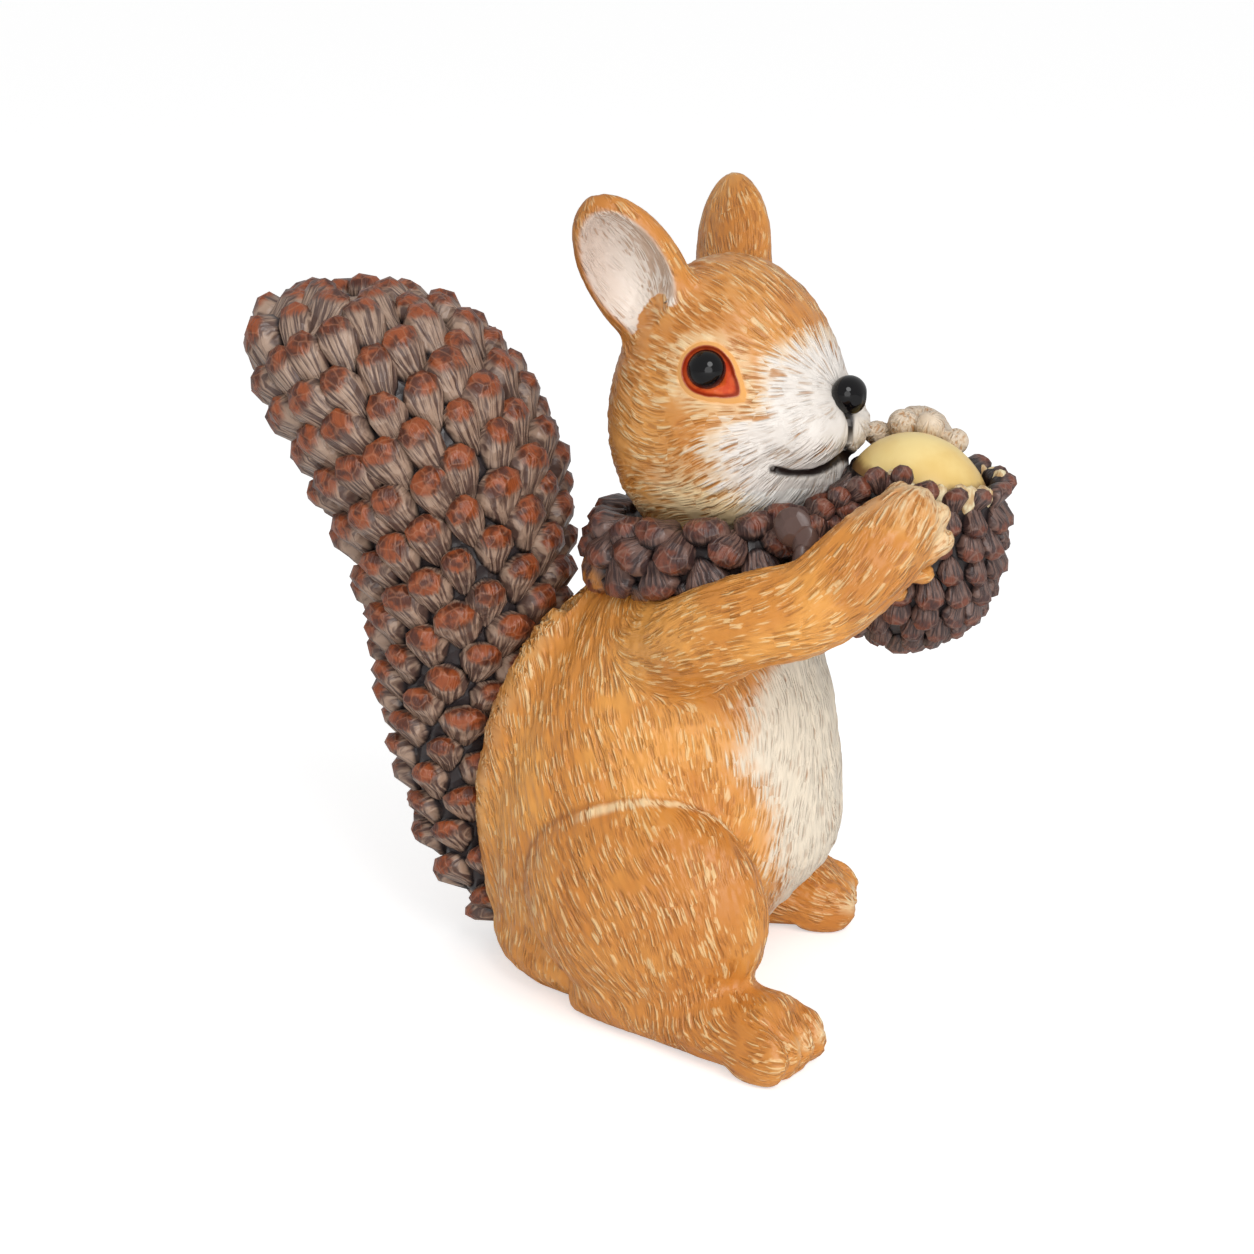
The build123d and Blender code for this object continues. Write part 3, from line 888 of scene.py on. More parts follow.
# Masks that the fur's paint reads: white, cream (with a painted highlight along the top of each thigh) and brown, the
# cups of the ears with their painted shade, and painted shade in the crease round each thigh
def maskFur(mesh, points, fields, labels, eyeShares, bare):
    facts = paleFacts
    onHead, onEar, onThigh = labels == 1, np.isin(labels, (2, 3)), np.isin(labels, (6, 7))
    cup, cupShading = cupsOver(points, labels)
    muzzle, belly = whitesOver(points, onHead, eyeShares)
    farPaw = smoothStep(lumpField(points, *furFacts["farPawPale"]), 2, -1)
    pale = np.maximum(np.maximum(muzzle, belly), facts["farPaw"] * farPaw)
    rims = np.abs(fields[0] - fields[6:].min(0))
    thighTop = smoothStep(points[:, 2], 26, 36) * smoothStep(points[:, 1], 12, -2)
    jaw = onHead * smoothStep(points[:, 2], 140, 118) * smoothStep(points[:, 1], 2, -12)
    creams = [
        facts["lap"] * smoothStep(lapField(points), 3, 0),
        # painted highlight: cream along the top front edge of each thigh, just off the crease
        facts["thigh"] * onThigh * thighTop * smoothStep(np.abs(rims - 1.3), 1.6, 0.2),
        onHead * facts["head"],
        onHead * facts["muzzleCream"] * smoothStep(muzzle, 0, 0.5),
        onHead * facts["jaw"] * jaw,
        onHead * facts["lids"] * smoothStep(eyeShares, 2.3, 1.3),
        facts["ear"] * onEar * (1 - cup) * smoothStep(fields[2:4].min(0), -8, -9),
    ]
    for strength, route, radius, fade in facts["cream"]:
        patch = chainField(points, np.array(route, float), [radius] * len(route))
        creams.append(strength * smoothStep(patch, fade, 0))
    crown = smoothStep(inHead(points)[:, 2], 150, 164) * onHead * facts["crown"]
    brown = np.maximum(crown, onThigh * facts["haunch"]) * (1 - bare)
    addAttribute(mesh, "furMasks", np.stack((pale, np.max(creams, axis=0), brown), 1))
    addAttribute(mesh, "furTonesAndShade", np.stack((pale > muzzle, cup, cupShading), 1))
    # painted shade in the crease where each leg meets the torso, weaker on the thigh's top
    addAttribute(mesh, "furCreaseShade", smoothStep(rims, 1.0, 0) * (1 - 0.6 * thighTop) * smoothStep(points[:, 2], 4, 10))
    addAttribute(mesh, "furLid", bare * (1 - 0.5 * pale))


def combFur(mesh, facts):
    points = coordinates(mesh)
    normals = unit(slopeOf(bodyField, points))
    flowGrid = makeFlowGrid(points, facts)
    stroke = strokesOver(points, flowGrid, facts)
    fields = partFields(points)
    labels = fields.argmin(0)
    sunk = smoothStep(mouthField(points), 1.0, 0.2)
    eyeShares = np.minimum(eyeShare(points, -1), eyeShare(points, 1))
    bare = smoothStep(eyeShares, 1.3, 1.1)
    height = facts["height"] * smoothStep(points[:, 2], 0.3, 3) * (1 - sunk) * (1 - bare)
    height = height * np.where(labels == 1, 0.8, 1) * np.where(np.isin(labels, (2, 3)), 0.45, 1)
    height *= 1 - 0.75 * smoothStep(lumpField(points, *facts["farPaw"]), 2, -1)
    hollow = facts["hollow"] * smoothStep(eyeShares, 1.1, 0.75)
    setCoordinates(mesh, points + normals * (np.clip(stroke, -2.2, 2.2) * height - hollow)[:, None])
    addAttribute(mesh, "furStroke", stroke)
    addAttribute(mesh, "furFlow", unit(readGrid(flowGrid, points)))
    addAttribute(mesh, "furDark", sunk)
    maskFur(mesh, points, fields, labels, eyeShares, bare)
    return labels


skinLabels = combFur(skinMesh, furFacts)
print("fur combed")

# Skin split into the castings that the record names, in the order of the fields

skinNodes = {
    "torso": "torso",
    "head": "head",
    "rightEar": "right_ear",
    "leftEar": "left_ear",
    "rightArm": "right_arm",
    "leftArm": "left_arm",
    "rightHindLeg": "right_hind_leg",
    "leftHindLeg": "left_hind_leg",
}


def newRing(bm, edges):
    made = bmesh.ops.extrude_edge_only(bm, edges=edges)["geom"]
    verts = [item for item in made if isinstance(item, bmesh.types.BMVert)]
    known = set(verts)
    edges = [item for item in made if isinstance(item, bmesh.types.BMEdge) and known.issuperset(item.verts)]
    return verts, edges


def middleOf(verts):
    return sum((vert.co for vert in verts), Vector()) / len(verts)


def rimLoop(start):
    loop, growing = {start}, [start]
    while growing:
        for vert in growing.pop().verts:
            for other in vert.link_edges:
                if other.is_boundary and other not in loop:
                    loop.add(other)
                    growing.append(other)
    return loop


def pieceFrom(bm, name, material):
    bmesh.ops.recalc_face_normals(bm, faces=bm.faces[:])
    bmesh.ops.scale(bm, vec=(mm, mm, mm), verts=bm.verts[:])
    for face in bm.faces:
        face.smooth = True
    mesh = bpy.data.meshes.new(name)
    bm.to_mesh(mesh)
    bm.free()
    mesh.materials.append(material)
    print(name, len(mesh.polygons))
    return newObject(name, mesh)


def splitSkin(mesh, labels):
    corners = np.empty(len(mesh.loops), int)
    mesh.loops.foreach_get("vertex_index", corners)
    starts = np.empty(len(mesh.polygons), int)
    mesh.polygons.foreach_get("loop_start", starts)
    faceLabels = labels[corners[starts]]
    for number, (name, node) in enumerate(skinNodes.items()):
        bm = bmesh.new()
        bm.from_mesh(mesh)
        others = [face for face, label in zip(bm.faces, faceLabels) if label != number]
        bmesh.ops.delete(bm, geom=others, context="FACES")
        rim = [edge for edge in bm.edges if edge.is_boundary]
        for edge in rim:
            edge.smooth = False
        while rim:
            loop = rimLoop(rim[0])
            rim = [edge for edge in rim if edge not in loop]
            verts = newRing(bm, list(loop))[0]
            bmesh.ops.pointmerge(bm, verts=verts, merge_co=middleOf(verts))
        piece = pieceFrom(bm, name, furMaterial)
        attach(piece, "root")
        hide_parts(node)


splitSkin(skinMesh, skinLabels)

# Knobs: hooded scales in rows, each with its own spot and seed for the paint

knobColours = {
    "tail": tints(
        light=(178, 150, 130),
        deep=(96, 74, 66),
        tip=(152, 76, 38),
        tipDeep=(88, 44, 28),
        edge=(186, 128, 96),
        # gap: painted shade between the scales, also on the core under them
        gap=(52, 46, 48),
    ),
    "shell": tints(
        light=(120, 92, 82),
        deep=(62, 44, 42),
        tip=(122, 66, 46),
        tipDeep=(70, 43, 39),
        # gap: painted shade between the knobs and on the wall and tube under them; the garland's smooth patch takes
        # it as its own dark colour
        edge=(160, 128, 112),
        gap=(36, 29, 30),
    ),
}
knobGrain = {"across": 4.6, "along": 0.7, "apart": 60.0, "scale": 1.6, "facets": 330.0, "bump": (0.75, 0.0009)}


def makeKnobPaint(name, colours, facts, tipStart):
    paint = Paint(name, Roughness=0.34)
    spot = paint.parts("knobSpot")
    across, along = paint.times(spot["X"], facts["across"]), paint.times(spot["Y"], facts["along"])
    apart = paint.times(paint.attribute("knobSeed"), facts["apart"])
    place = paint.node("CombineXYZ", {0: across, 1: along, 2: apart})[0]
    grain = paint.node("TexNoise", {"Vector": place, "Scale": facts["scale"], "Detail": 3.0})["Fac"]
    flank = paint.clouds(grain, colours["deep"], colours["light"], 0.4, 0.6)
    patches = paint.noise(280)
    tip = paint.clouds(patches, colours["tipDeep"], colours["tip"], 0.4, 0.6)
    cells = {"Vector": paint.place(), "Scale": facts["facets"]}
    chips = paint.node("TexVoronoi", cells, feature="DISTANCE_TO_EDGE")["Distance"]
    tip = paint.blend(paint.times(paint.ramp(chips, 0.09, 0.01), 0.3), tip, colours["edge"])
    rise = paint.plus(paint.plus(paint.times(spot["Y"], 0.5), spot["Z"]), paint.times(grain, 0.6))
    base = paint.blend(paint.ramp(rise, tipStart, tipStart + 0.25), flank, tip)
    # painted shade: dark low on each knob, where it meets its neighbours and the core
    low = paint.plus(spot["Z"], paint.times(grain, 0.2))
    base = paint.blend(paint.ramp(low, 0.3, 0.08), base, colours["gap"])
    over = paint.times(paint.attribute("knobOver"), paint.ramp(patches, 0.62, 0.42))
    base = paint.blend(over, base, furColours["mid"])
    facets = paint.node("TexVoronoi", cells)["Distance"]
    return paint.finish(base, paint.plus(grain, facets), *facts["bump"])


tailPaint = makeKnobPaint("tailScales", knobColours["tail"], knobGrain, 1.0)
shellPaint = makeKnobPaint("darkKnobs", knobColours["shell"], knobGrain, 0.95)


def startKnobs():
    bm = bmesh.new()
    bm.verts.layers.float_vector.new("knobSpot")
    bm.verts.layers.float.new("knobSeed")
    bm.verts.layers.float.new("knobOver")
    return bm


def addKnob(bm, seat, width, length, height, hood, over=0.0):
    spots = bm.verts.layers.float_vector["knobSpot"]
    seeds = bm.verts.layers.float["knobSeed"]
    overs = bm.verts.layers.float["knobOver"]
    seed = random.random()
    twist = wobble(0.3)
    for vert in bmesh.ops.create_icosphere(bm, subdivisions=2, radius=1)["verts"]:
        x, y, z = vert.co
        wide = 0.42 + (0.58 + twist) * smoothStep(y, -1.1, 0.3)
        outward = z**0.65 * (0.26 + 0.74 * smoothStep(y, -0.8, 0.3)) if z > 0 else 0.55 * z
        jitter = [wobble(0.09) for axis in range(3)]
        boxed = abs(x) ** 0.8 * (1 if x > 0 else -1)
        vert[spots] = (x, y, max(outward, 0))
        vert[seeds] = seed
        vert[overs] = over * smoothStep(outward, 0.2, 0.6)
        vert.co = seat @ Vector((
            (boxed * wide + jitter[0]) * width / 2,
            (y + jitter[1]) * length / 2 + hood * max(outward, 0),
            (outward + jitter[2]) * height,
        ))


def seatAt(place, up, out):
    up, out = Vector(up), Vector(out).normalized()
    across = up.cross(out).normalized()
    return Matrix.Translation(place) @ Matrix((across, out.cross(across), out)).transposed().to_4x4()


def shaken(seat, degrees):
    return seat @ Matrix.Rotation(wobble(radians(degrees)) * 2, 4, "Z")


def waysAt(angle):
    return Vector((cos(angle), sin(angle), 0)), Vector((-sin(angle), cos(angle), 0))


def finishPiece(bm, name, material, nodes):
    piece = pieceFrom(bm, name, material)
    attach(piece, "root")
    if nodes:
        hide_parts(*nodes)


# Tail: a core that takes the painted shade of the gaps, under rows of scales

tailFacts = {
    "height": 148.5,
    "width": 58.0,
    "clearance": 6.0,
    "setBack": 52.0,
    # rise, set back and radius of each section
    "sections": (
        (0, -0.1, 0.07), (0.053, -0.062, 0.142), (0.119, -0.035, 0.19), (0.212, -0.017, 0.232), (0.344, 0, 0.276),
        (0.523, -0.007, 0.362), (0.669, 0.013, 0.43), (0.808, 0.064, 0.486), (0.927, 0.136, 0.455),
        (0.98, 0.167, 0.34), (1, 0.178, 0.19),
    ),
    "rows": 400,
    "coreShare": 0.94,
    "coreStep": 12,
    # each scale's share of the surface, and the turn from one scale to the next
    "area": 92.0,
    "turn": radians(137.508),
    "hood": 2.4,
    # share of the height, and the scales' width, length and height there
    "scales": ((0, 10.6, 9.6, 5.2), (0.35, 10.8, 10.8, 5.9), (0.6, 10.6, 13.4, 6.6), (1, 10.6, 15.5, 6.8)),
    # scales over the ends of the pins, and the scales that close the top
    "covers": ((0, 59.2, 27.4),),
    "coverKnob": (11.0, 11.0, 6.8),
    "crown": (8.6, 9.0, 4.6),
    "crownRadius": 5.8,
    "crownHood": 0.8,
}


def addTailCore(bm, middles, radii, step):
    place = Matrix.Translation(middles[0]) @ Matrix.Diagonal((radii[0], radii[0], 1, 1))
    ring = bmesh.ops.create_circle(bm, cap_ends=True, segments=40, radius=1)["verts"]
    bmesh.ops.transform(bm, matrix=place, verts=ring)
    edges = bm.edges[:]
    for index in range(step, len(radii), step):
        verts, edges = newRing(bm, edges)
        before = middleOf(verts)
        size = radii[index] / radii[index - step]
        bmesh.ops.scale(bm, vec=(size, size, 1), space=Matrix.Translation(-before), verts=verts)
        bmesh.ops.translate(bm, vec=Vector(middles[index]) - before, verts=verts)
    bmesh.ops.holes_fill(bm, edges=edges)


def makeTail(facts):
    at, curve = throughRows(facts["sections"], facts["rows"])
    heights = facts["clearance"] + facts["height"] * at
    backs = facts["setBack"] + facts["height"] * curve[:, 0]
    middles = np.stack((0 * backs, backs, heights), 1)
    radii = facts["width"] * curve[:, 1]
    share = facts["coreShare"]
    bm = startKnobs()
    addTailCore(bm, middles, radii * share, facts["coreStep"])
    runs = np.hypot(np.hypot(np.diff(heights), np.diff(backs)), np.diff(radii))
    areas = np.concatenate(((0,), np.cumsum(runs * tau * (radii[1:] + radii[:-1]) / 2)))
    sizes = np.array(facts["scales"], float)
    for number in range(int(areas[-1] / facts["area"])):
        index = min(max(int(np.searchsorted(areas, (number + 0.5) * facts["area"])), 1), facts["rows"] - 2)
        out, side = waysAt(number * facts["turn"] + wobble(0.1))
        up = Vector(middles[index + 1] - middles[index - 1]) + out * (radii[index + 1] - radii[index - 1])
        up = up.normalized()
        place = Vector(middles[index]) + out * radii[index] * share
        if torsoField(np.array(place)[None])[0] < -5:
            continue
        grow = 1 + wobble(0.16)
        size = [np.interp(at[index], sizes[:, 0], column) * grow for column in sizes[:, 1:].T]
        addKnob(bm, shaken(seatAt(place, up, side.cross(up)), 10), *size, facts["hood"])
    for place in facts["covers"]:
        addKnob(bm, seatAt(place, (0, 0, 1), (0, 1, -0.1)), *facts["coverKnob"], facts["hood"])
    axis = Vector(middles[-1] - middles[-20]).normalized()
    for number in range(7):
        out = waysAt(tau * number / 6)[0] if number < 6 else Vector((0, 1, 0))
        place = Vector(middles[-1]) + out * (facts["crownRadius"] if number < 6 else 0)
        addKnob(bm, shaken(seatAt(place, out, axis + out * 0.25), 15), *facts["crown"], facts["crownHood"])
    finishPiece(bm, "tail", tailPaint, ["tail"])


makeTail(tailFacts)

# Nut: shell with knobs, torn pale rim, smooth kernel

nutFacts = {
    "middle": (0, -57.5, 110.3),
    "tilt": 9.0,
    "diameter": 35.5,
    "wall": 2.8,
    # rise and radius of each section
    "sections": ((-0.57, 0.13), (-0.51, 0.26), (-0.41, 0.38), (-0.23, 0.48), (0.0, 0.51), (0.22, 0.50), (0.45, 0.46)),
    "rows": 60,
    "knob": (6.6, 7.2, 3.6),
    "hood": 1.2,
    "spacing": 6.7,
    "pitch": 5.1,
    "kernelRadii": (15.4, 17.0, 18.0),
    # the kernel's lean towards the mouth
    "kernelLean": 0.1,
    "kernelRise": 0.19,
    # towards the mouth, where the rim has no knobs or fibres
    "mouthSide": (-0.34, 0.94, 0.0),
    "mouthShare": 0.62,
    "torn": {"count": 30, "radius": 16.2, "size": (3.6, 6.5, 1.6)},
}
nutPlace = Matrix.Translation(nutFacts["middle"]) @ Matrix.Rotation(radians(nutFacts["tilt"]), 4, "X")


def addShellWall(bm, wall, radii, rises):
    outer = [(0, 0, rises[0])] + [(radius, 0, rise) for rise, radius in zip(rises, radii)]
    inner = [(max(x - wall, 0.0), 0, z + (wall if z < 0 else 0)) for x, y, z in reversed(outer[1::6])]
    places = outer[::4] + [outer[-1]] + inner + [(0, 0, rises[0] + wall)]
    profile = [bm.verts.new(place) for place in places]
    edges = [bm.edges.new(pair) for pair in zip(profile, profile[1:])]
    bmesh.ops.spin(bm, geom=profile + edges, cent=(0, 0, 0), axis=(0, 0, 1), angle=tau, steps=48, use_merge=True)
    bmesh.ops.remove_doubles(bm, verts=bm.verts[:], dist=0.02)
    bmesh.ops.recalc_face_normals(bm, faces=bm.faces[:])


def makeShell(facts):
    bm = startKnobs()
    at, curve = throughRows(facts["sections"], facts["rows"])
    swell = curve[:, 0]
    radii, rises = swell * facts["diameter"], at * facts["diameter"]
    # the wall takes the painted shade of the gaps between the knobs
    addShellWall(bm, facts["wall"], radii, rises)
    lengths = np.concatenate(((0,), np.cumsum(np.hypot(np.diff(at), np.diff(swell)) * facts["diameter"])))
    travelled, row = 2.0, 0
    width, length, height = facts["knob"]
    while travelled < lengths[-1] + 0.5:
        index = min(int(np.searchsorted(lengths, travelled)), facts["rows"] - 2)
        count = max(4, round(tau * radii[index] / facts["spacing"]))
        atRim = travelled > lengths[-1] - 3
        for number in range(count):
            out, side = waysAt(tau * (number + row % 2 / 2 + wobble(0.2)) / count)
            up = out * (swell[index + 1] - swell[index - 1]) + Vector((0, 0, at[index + 1] - at[index - 1]))
            up = up.normalized()
            if atRim and out @ Vector(facts["mouthSide"]) > facts["mouthShare"]:
                continue
            place = out * radii[index] + Vector((0, 0, rises[index]))
            seat = shaken(seatAt(place, up if atRim else -up, side.cross(up)), 16)
            grow = 1 + wobble(0.25)
            addKnob(bm, seat, width * grow, length * grow * (0.85 if atRim else 1), height * grow, facts["hood"])
        travelled += facts["pitch"]
        row += 1
    bmesh.ops.transform(bm, matrix=nutPlace, verts=bm.verts[:])
    finishPiece(bm, "nutShell", shellPaint, ["nut_shell"])


def makeKernelPaint():
    paint = Paint("kernelSkin", Roughness=0.34)
    clouds, fibres = paint.noise(60, 4), paint.noise(500, 3, (1, 1, 0.25))
    base = paint.clouds(clouds, tint(232, 196, 118), tint(246, 220, 150))
    edge = paint.ramp(paint.plus(paint.attribute("kernelRim"), paint.times(fibres, 0.5)), 0.55, 1.1)
    base = paint.blend(edge, base, tint(150, 112, 70))
    return paint.finish(base, paint.plus(clouds, paint.times(fibres, 0.2)), 0.35, 0.0008)


def makeKernel(facts):
    bm = bmesh.new()
    rims = bm.verts.layers.float.new("kernelRim")
    bmesh.ops.create_uvsphere(bm, u_segments=64, v_segments=40, radius=1)
    top = facts["sections"][-1][0] * facts["diameter"]
    for vert in bm.verts:
        x, y, z = vert.co
        ridge = 1 + 0.012 * cos(3 * np.arctan2(y, x) + 0.7) * (1 - z * z)
        vert.co = Vector((x * ridge, y * ridge, z)) * Vector(facts["kernelRadii"])
        vert.co.y += facts["kernelLean"] * max(vert.co.z, 0)
        vert.co.z += facts["kernelRise"] * facts["diameter"]
        vert[rims] = smoothStep(vert.co.z, top + 4, top - 1)
    bmesh.ops.transform(bm, matrix=nutPlace, verts=bm.verts[:])
    finishPiece(bm, "nutKernel", makeKernelPaint(), ["nut_kernel"])


def makeTornPaint():
    paint = Paint("tornRim", Roughness=0.6)
    base = paint.clouds(paint.noise(700, 3, (1, 1, 0.3)), tint(196, 160, 112), tint(240, 226, 186))
    return paint.finish(base, paint.noise(900, 2, (1, 1, 0.3)), 0.5, 0.0004)


# Torn pale fibres that stand inside the rim
def makeTorn(facts):
    torn = facts["torn"]
    bm = startKnobs()
    top = facts["sections"][-1][0] * facts["diameter"]
    for number in range(torn["count"]):
        out = waysAt(tau * (number + 0.5 * random.random()) / torn["count"])[0]
        lift = 0.5 + 1.8 * random.random()
        grow = 0.8 + 0.5 * random.random()
        if out @ Vector(facts["mouthSide"]) > facts["mouthShare"]:
            continue
        size = [side * grow for side in torn["size"]]
        place = out * torn["radius"] + Vector((0, 0, top - 2 + lift))
        addKnob(bm, shaken(seatAt(place, Vector((0, 0, 1)) - out * 0.15, out), 20), *size, 0)
    bmesh.ops.transform(bm, matrix=nutPlace, verts=bm.verts[:])
    finishPiece(bm, "tornRim", makeTornPaint(), [])


makeShell(nutFacts)
makeTorn(nutFacts)
makeKernel(nutFacts)

# Garland: a ring of knobs round the neck

garlandFacts = {
    "centre": (0, -15.0, 108.0),
    "radius": 24.5,
    "tilt": -8.0,
    "tube": (5.5, 7.5),
    # angle round the tube of each row, how often the fur's paint runs over its knobs, and how far
    "rows": ((70, 0, 0), (28, 0, 0), (-14, 0.3, 0.8), (-56, 0.6, 0.9)),
    "count": 17,
    "knob": (10.6, 10.0, 4.6),
    "hood": 0.6,
    # a smooth patch and its drip: place and radii
    "smooth": (
        ((-28.4, -39.6, 119.2), (2.0, 4.4, 4.4)),
        ((-28.8, -42.4, 116.2), (1.9, 3.0, 4.2)),
        ((-30.4, -42.2, 112.0), (1.7, 2.1, 4.4)),
    ),
    "smoothSpot": (0.1, 0, 0.14),
    # knobs that climb from the ring to the shell
    "climb": (
        (-26.5, -43.5, 118.5), (-26, -44, 114.5), (-23.5, -44, 121.5), (-22.5, -46, 118), (-21, -47, 123.8),
        (-20.5, -49.5, 120.6), (-19.5, -50.5, 126), (-18, -54.5, 128), (-17, -59.5, 128.6), (-16.8, -64.5, 126.6),
    ),
    "climbKnob": (6.0, 6.4, 3.2),
    "climbHood": 0.5,
}


def makeGarland(facts):
    bm = startKnobs()
    wide, high = facts["tube"]
    # the tube under the knobs takes the painted shade of the gaps
    ring = bmesh.ops.create_circle(bm, segments=16, radius=1)["verts"]
    place = Matrix.Translation((facts["radius"], 0, 0)) @ Matrix.Rotation(radians(90), 4, "X")
    bmesh.ops.transform(bm, matrix=place @ Matrix.Diagonal((wide, high, 1, 1)), verts=ring)
    geom = bm.verts[:] + bm.edges[:]
    bmesh.ops.spin(bm, geom=geom, axis=(0, 0, 1), cent=(0, 0, 0), angle=tau, steps=72, use_merge=True)
    bmesh.ops.remove_doubles(bm, verts=bm.verts[:], dist=0.02)
    for row, (tube, often, far) in enumerate(facts["rows"]):
        level, rise = cos(radians(tube)), sin(radians(tube))
        for number in range(facts["count"]):
            around = waysAt(tau * (number + row % 2 / 2 + wobble(0.2)) / facts["count"])[0]
            out = around * level + Vector((0, 0, rise))
            place = around * (facts["radius"] + wide * level) + Vector((0, 0, high * rise))
            seat = shaken(seatAt(place, out * out.z - Vector((0, 0, 1)), out), 40)
            grow = 1 + wobble(0.22)
            size = [side * grow for side in facts["knob"]]
            addKnob(bm, seat, *size, facts["hood"], far * (random.random() < often))
    turned = Matrix.Rotation(radians(facts["tilt"]), 4, "X")
    bmesh.ops.transform(bm, matrix=Matrix.Translation(facts["centre"]) @ turned, verts=bm.verts[:])
    for place, radii in facts["smooth"]:
        for vert in addLump(bm, place, radii):
            vert[bm.verts.layers.float_vector["knobSpot"]] = facts["smoothSpot"]
    for place in facts["climb"]:
        seat = shaken(seatAt(place, (0, -0.5, 1), (-1, -0.25, 0.35)), 60)
        addKnob(bm, seat, *facts["climbKnob"], facts["climbHood"])
    finishPiece(bm, "neckGarland", shellPaint, ["neck_garland"])


makeGarland(garlandFacts)

# Beads, lids and nose

lidFacts = {
    "segments": 96,
    "wall": 0.6,
    # share of the almond's reach, and height above the head
    "rings": (
        (0.45, -1.3), (0.62, -0.75), (0.76, -0.4), (0.86, -0.15), (0.92, 0.15), (0.96, 0.5), (1.0, 0.66),
        (1.04, 0.58), (1.08, 0.4), (1.13, 0.2), (1.18, 0.0), (1.24, -0.3), (1.3, -0.8),
    ),
}
noseFacts = {"place": (0, -45.2, 143.8), "radii": (4.5, 3.7, 4.3), "tilt": -14}


def makeLidPaint():
    paint = Paint("lidPaint", Roughness=0.22)
    share = paint.attribute("lidShare")
    red = paint.clouds(paint.noise(400, 2), tint(206, 62, 26), tint(226, 98, 44))
    base = paint.blend(paint.ramp(share, 0.96, 1.04), red, furColours["lid"])
    line = paint.times(paint.ramp(share, 0.8, 0.93), paint.ramp(share, 1.06, 0.98))
    return paint.finish(paint.blend(paint.times(line, 0.75), base, tint(126, 36, 16)))


blackGloss = Paint("blackGloss", Roughness=0.05, Base_Color=tint(10, 9, 11), Specular_IOR_Level=0.32).material
lidPaint = makeLidPaint()


def makeEye(side, name, node):
    middle, up = eyeFrame(side)[0::2]
    bm = bmesh.new()
    bmesh.ops.create_uvsphere(bm, u_segments=48, v_segments=32, radius=eyeFacts["radius"])
    bmesh.ops.translate(bm, vec=Vector(middle + up * eyeFacts["lift"]), verts=bm.verts[:])
    finishPiece(bm, name, blackGloss, [node])


def ontoHead(points, out):
    for turn in range(4):
        slope = slopeOf(headField, points)
        points = points - out * (headField(points) / np.maximum(slope @ out, 0.3))[:, None]
    return points


def makeLids(side, name, facts):
    middle, ahead, up, out = eyeFrame(side)

    def angleOf(vert):
        away = vert.co - Vector(middle)
        return float(np.arctan2(away @ Vector(up), away @ Vector(ahead)))

    bm = bmesh.new()
    shares = bm.verts.layers.float.new("lidShare")
    verts = bmesh.ops.create_circle(bm, segments=facts["segments"], radius=1)["verts"]
    edges = bm.edges[:]
    angles = [float(np.arctan2(vert.co.y, vert.co.x)) for vert in verts]
    for number, (share, lift) in enumerate(facts["rings"]):
        if number:
            verts, edges = newRing(bm, edges)
            verts = sorted(verts, key=angleOf)
            angles = [angleOf(vert) for vert in verts]
        reach = almondReach(np.array(angles))
        ring = [middle + far * share * (ahead * cos(angle) + up * sin(angle)) for angle, far in zip(angles, reach)]
        for vert, place in zip(verts, ontoHead(np.array(ring), out) + out * lift):
            vert.co = place
            vert[shares] = share
    made = bmesh.ops.extrude_face_region(bm, geom=bm.faces[:])["geom"]
    backs = [item for item in made if isinstance(item, bmesh.types.BMVert)]
    bmesh.ops.translate(bm, vec=Vector(out) * -facts["wall"], verts=backs)
    finishPiece(bm, name, lidPaint, [])


def makeNose(facts):
    bm = bmesh.new()
    bmesh.ops.create_icosphere(bm, subdivisions=4, radius=1)
    for vert in bm.verts:
        x, y, z = vert.co
        wide = 1 + 0.16 * z
        dent = 0.16 * np.exp(-(((abs(x) - 0.62) / 0.22) ** 2) - ((z + 0.35) / 0.3) ** 2) * (y < 0.2)
        groove = 0.1 * np.exp(-((x / 0.16) ** 2)) * smoothStep(z, 0.3, -0.6) * (y < 0)
        vert.co = Vector((x * wide, y * (1 - dent - groove), z)) * Vector(facts["radii"])
    turned = Matrix.Rotation(radians(facts["tilt"]), 3, "X")
    bmesh.ops.transform(bm, matrix=Matrix(headTurned.tolist()).to_4x4() @ turned.to_4x4(), verts=bm.verts[:])
    bmesh.ops.translate(bm, vec=Vector(fromHead(np.array(facts["place"]))), verts=bm.verts[:])
    finishPiece(bm, "noseTip", blackGloss, ["nose"])


for side, name, node, lidName in ((-1, "rightEye", "right_eye", "rightLids"), (1, "leftEye", "left_eye", "leftLids")):
    makeEye(side, name, node)
    makeLids(side, lidName, lidFacts)
makeNose(noseFacts)

# Solids that stay: plug and pins


def makePlugPaint():
    paint = Paint("plugRubber", Roughness=0.7)
    base = paint.clouds(paint.noise(200, 4), tint(74, 70, 66), tint(98, 92, 86), 0.3, 0.7)
    return paint.finish(base, paint.noise(1200, 2), 0.3, 0.0002)


def makePinPaint():
    paint = Paint("pinSteel", Roughness=0.3, Metallic=1.0)
    streaks = paint.noise(300, 4, (1, 1, 0.1))
    return paint.finish(paint.clouds(streaks, tint(150, 150, 152), tint(196, 196, 198), 0.3, 0.7))


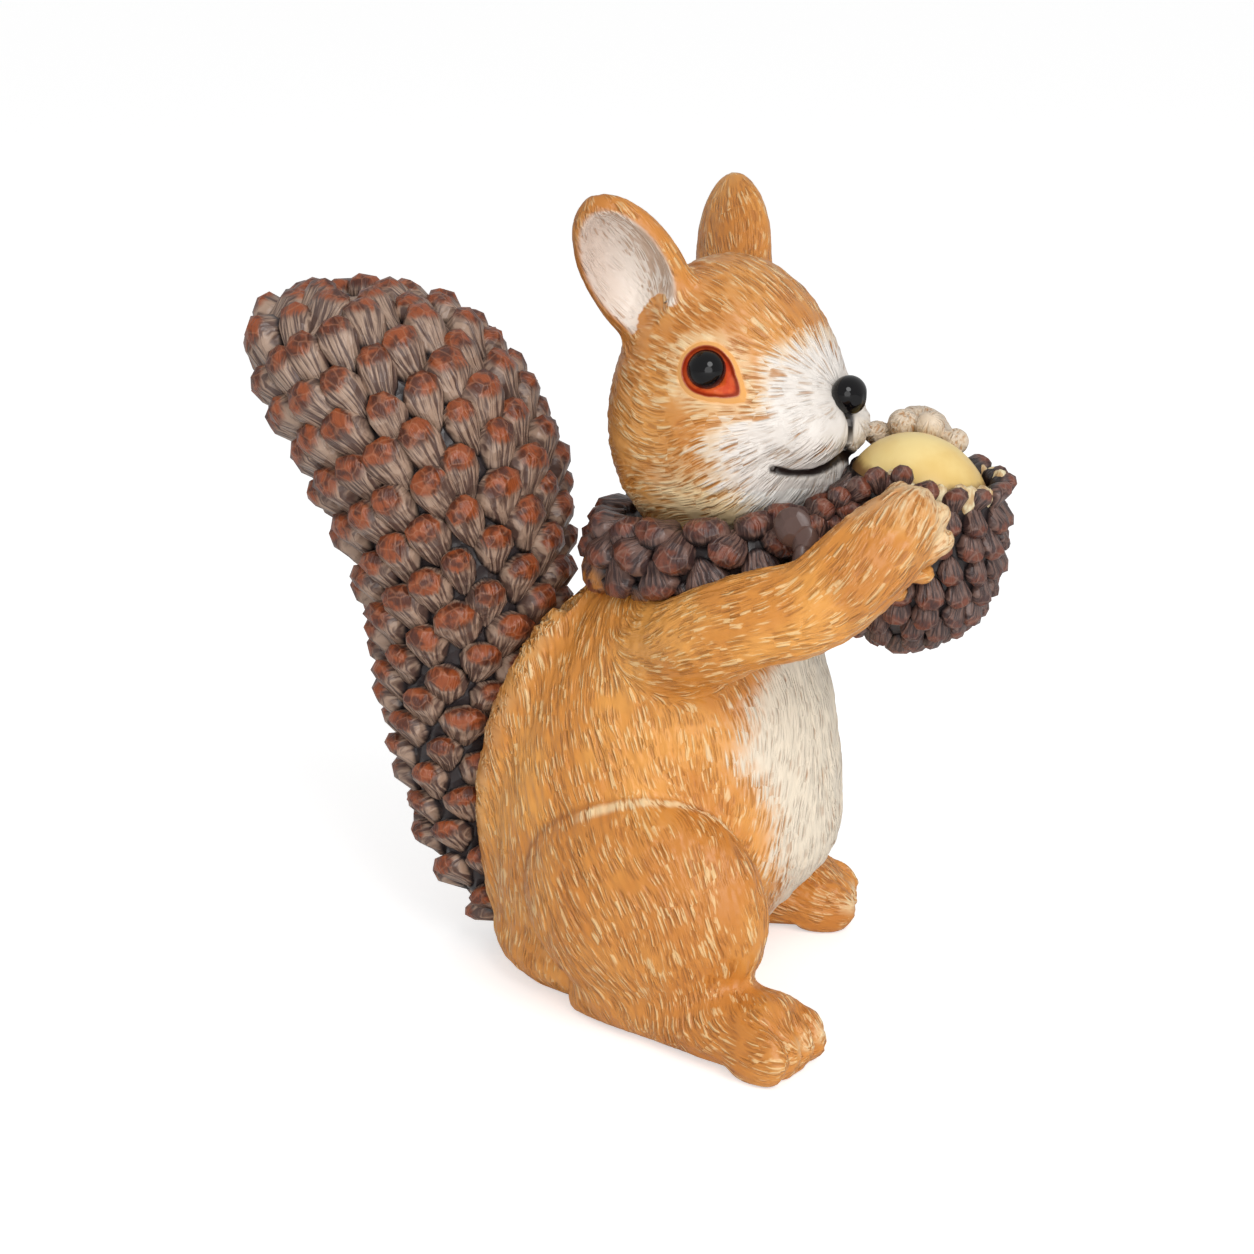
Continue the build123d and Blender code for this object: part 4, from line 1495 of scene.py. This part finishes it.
plugPaint, pinPaint = makePlugPaint(), makePinPaint()
for name, material in (("base_plug", plugPaint), ("neck_dowel", pinPaint), ("tail_dowels", pinPaint)):
    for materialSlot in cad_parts[name].material_slots:
        materialSlot.material = material

# Stage

stageFacts = {
    "floorSize": 24.0,
    "floorTone": (0.86, 0.86, 0.86, 1),
    "floorGlow": 0.52,
    "world": 0.54,
    # strength, size and place of each lamp, and where they point
    "lamps": {"key": (6.9, 0.7, (-0.75, -0.75, 1.0)), "fill": (4.8, 0.9, (-0.95, -0.6, 0.22))},
    "aim": (0, -0.01, 0.08),
}


def makeFloor(facts):
    bm = bmesh.new()
    bmesh.ops.create_grid(bm, x_segments=1, y_segments=1, size=facts["floorSize"] / 2)
    mesh = bpy.data.meshes.new("floor")
    bm.to_mesh(mesh)
    bm.free()
    paint = Paint("floor", Roughness=0.9, Base_Color=facts["floorTone"], Emission_Color=(1, 1, 1, 1))
    glow = paint.times(paint.node("LightPath")["Is Camera Ray"], facts["floorGlow"])
    paint.tree.links.new(glow, paint.shader.inputs["Emission Strength"])
    mesh.materials.append(paint.material)
    floor = newObject("floor", mesh)


def makeLamps(facts):
    for name, (energy, size, place) in facts["lamps"].items():
        lamp = bpy.data.lights.new(name, "AREA")
        lamp.energy, lamp.size, lamp.shape = energy, size, "DISK"
        light = newObject(name, lamp)
        light.location = place
        light.rotation_euler = (Vector(facts["aim"]) - Vector(place)).to_track_quat("-Z", "Y").to_euler()


def makeWorld(facts):
    world = bpy.data.worlds.new("studio")
    world.use_nodes = True
    tree = world.node_tree
    path = newNode(tree, "LightPath")
    rays = {0: path["Is Camera Ray"], 1: path["Is Transmission Ray"]}
    seen = newNode(tree, "Math", rays, operation="MAXIMUM")[0]
    strength = newNode(tree, "MapRange", {"Value": seen, "To Min": facts["world"], "To Max": 1.0})[0]
    background = tree.nodes["Background"]
    background.inputs["Color"].default_value = (1, 1, 1, 1)
    tree.links.new(strength, background.inputs["Strength"])
    bpy.context.scene.world = world


makeFloor(stageFacts)
makeLamps(stageFacts)
makeWorld(stageFacts)
bpy.context.scene.view_settings.view_transform = "Standard"
print("stage set")
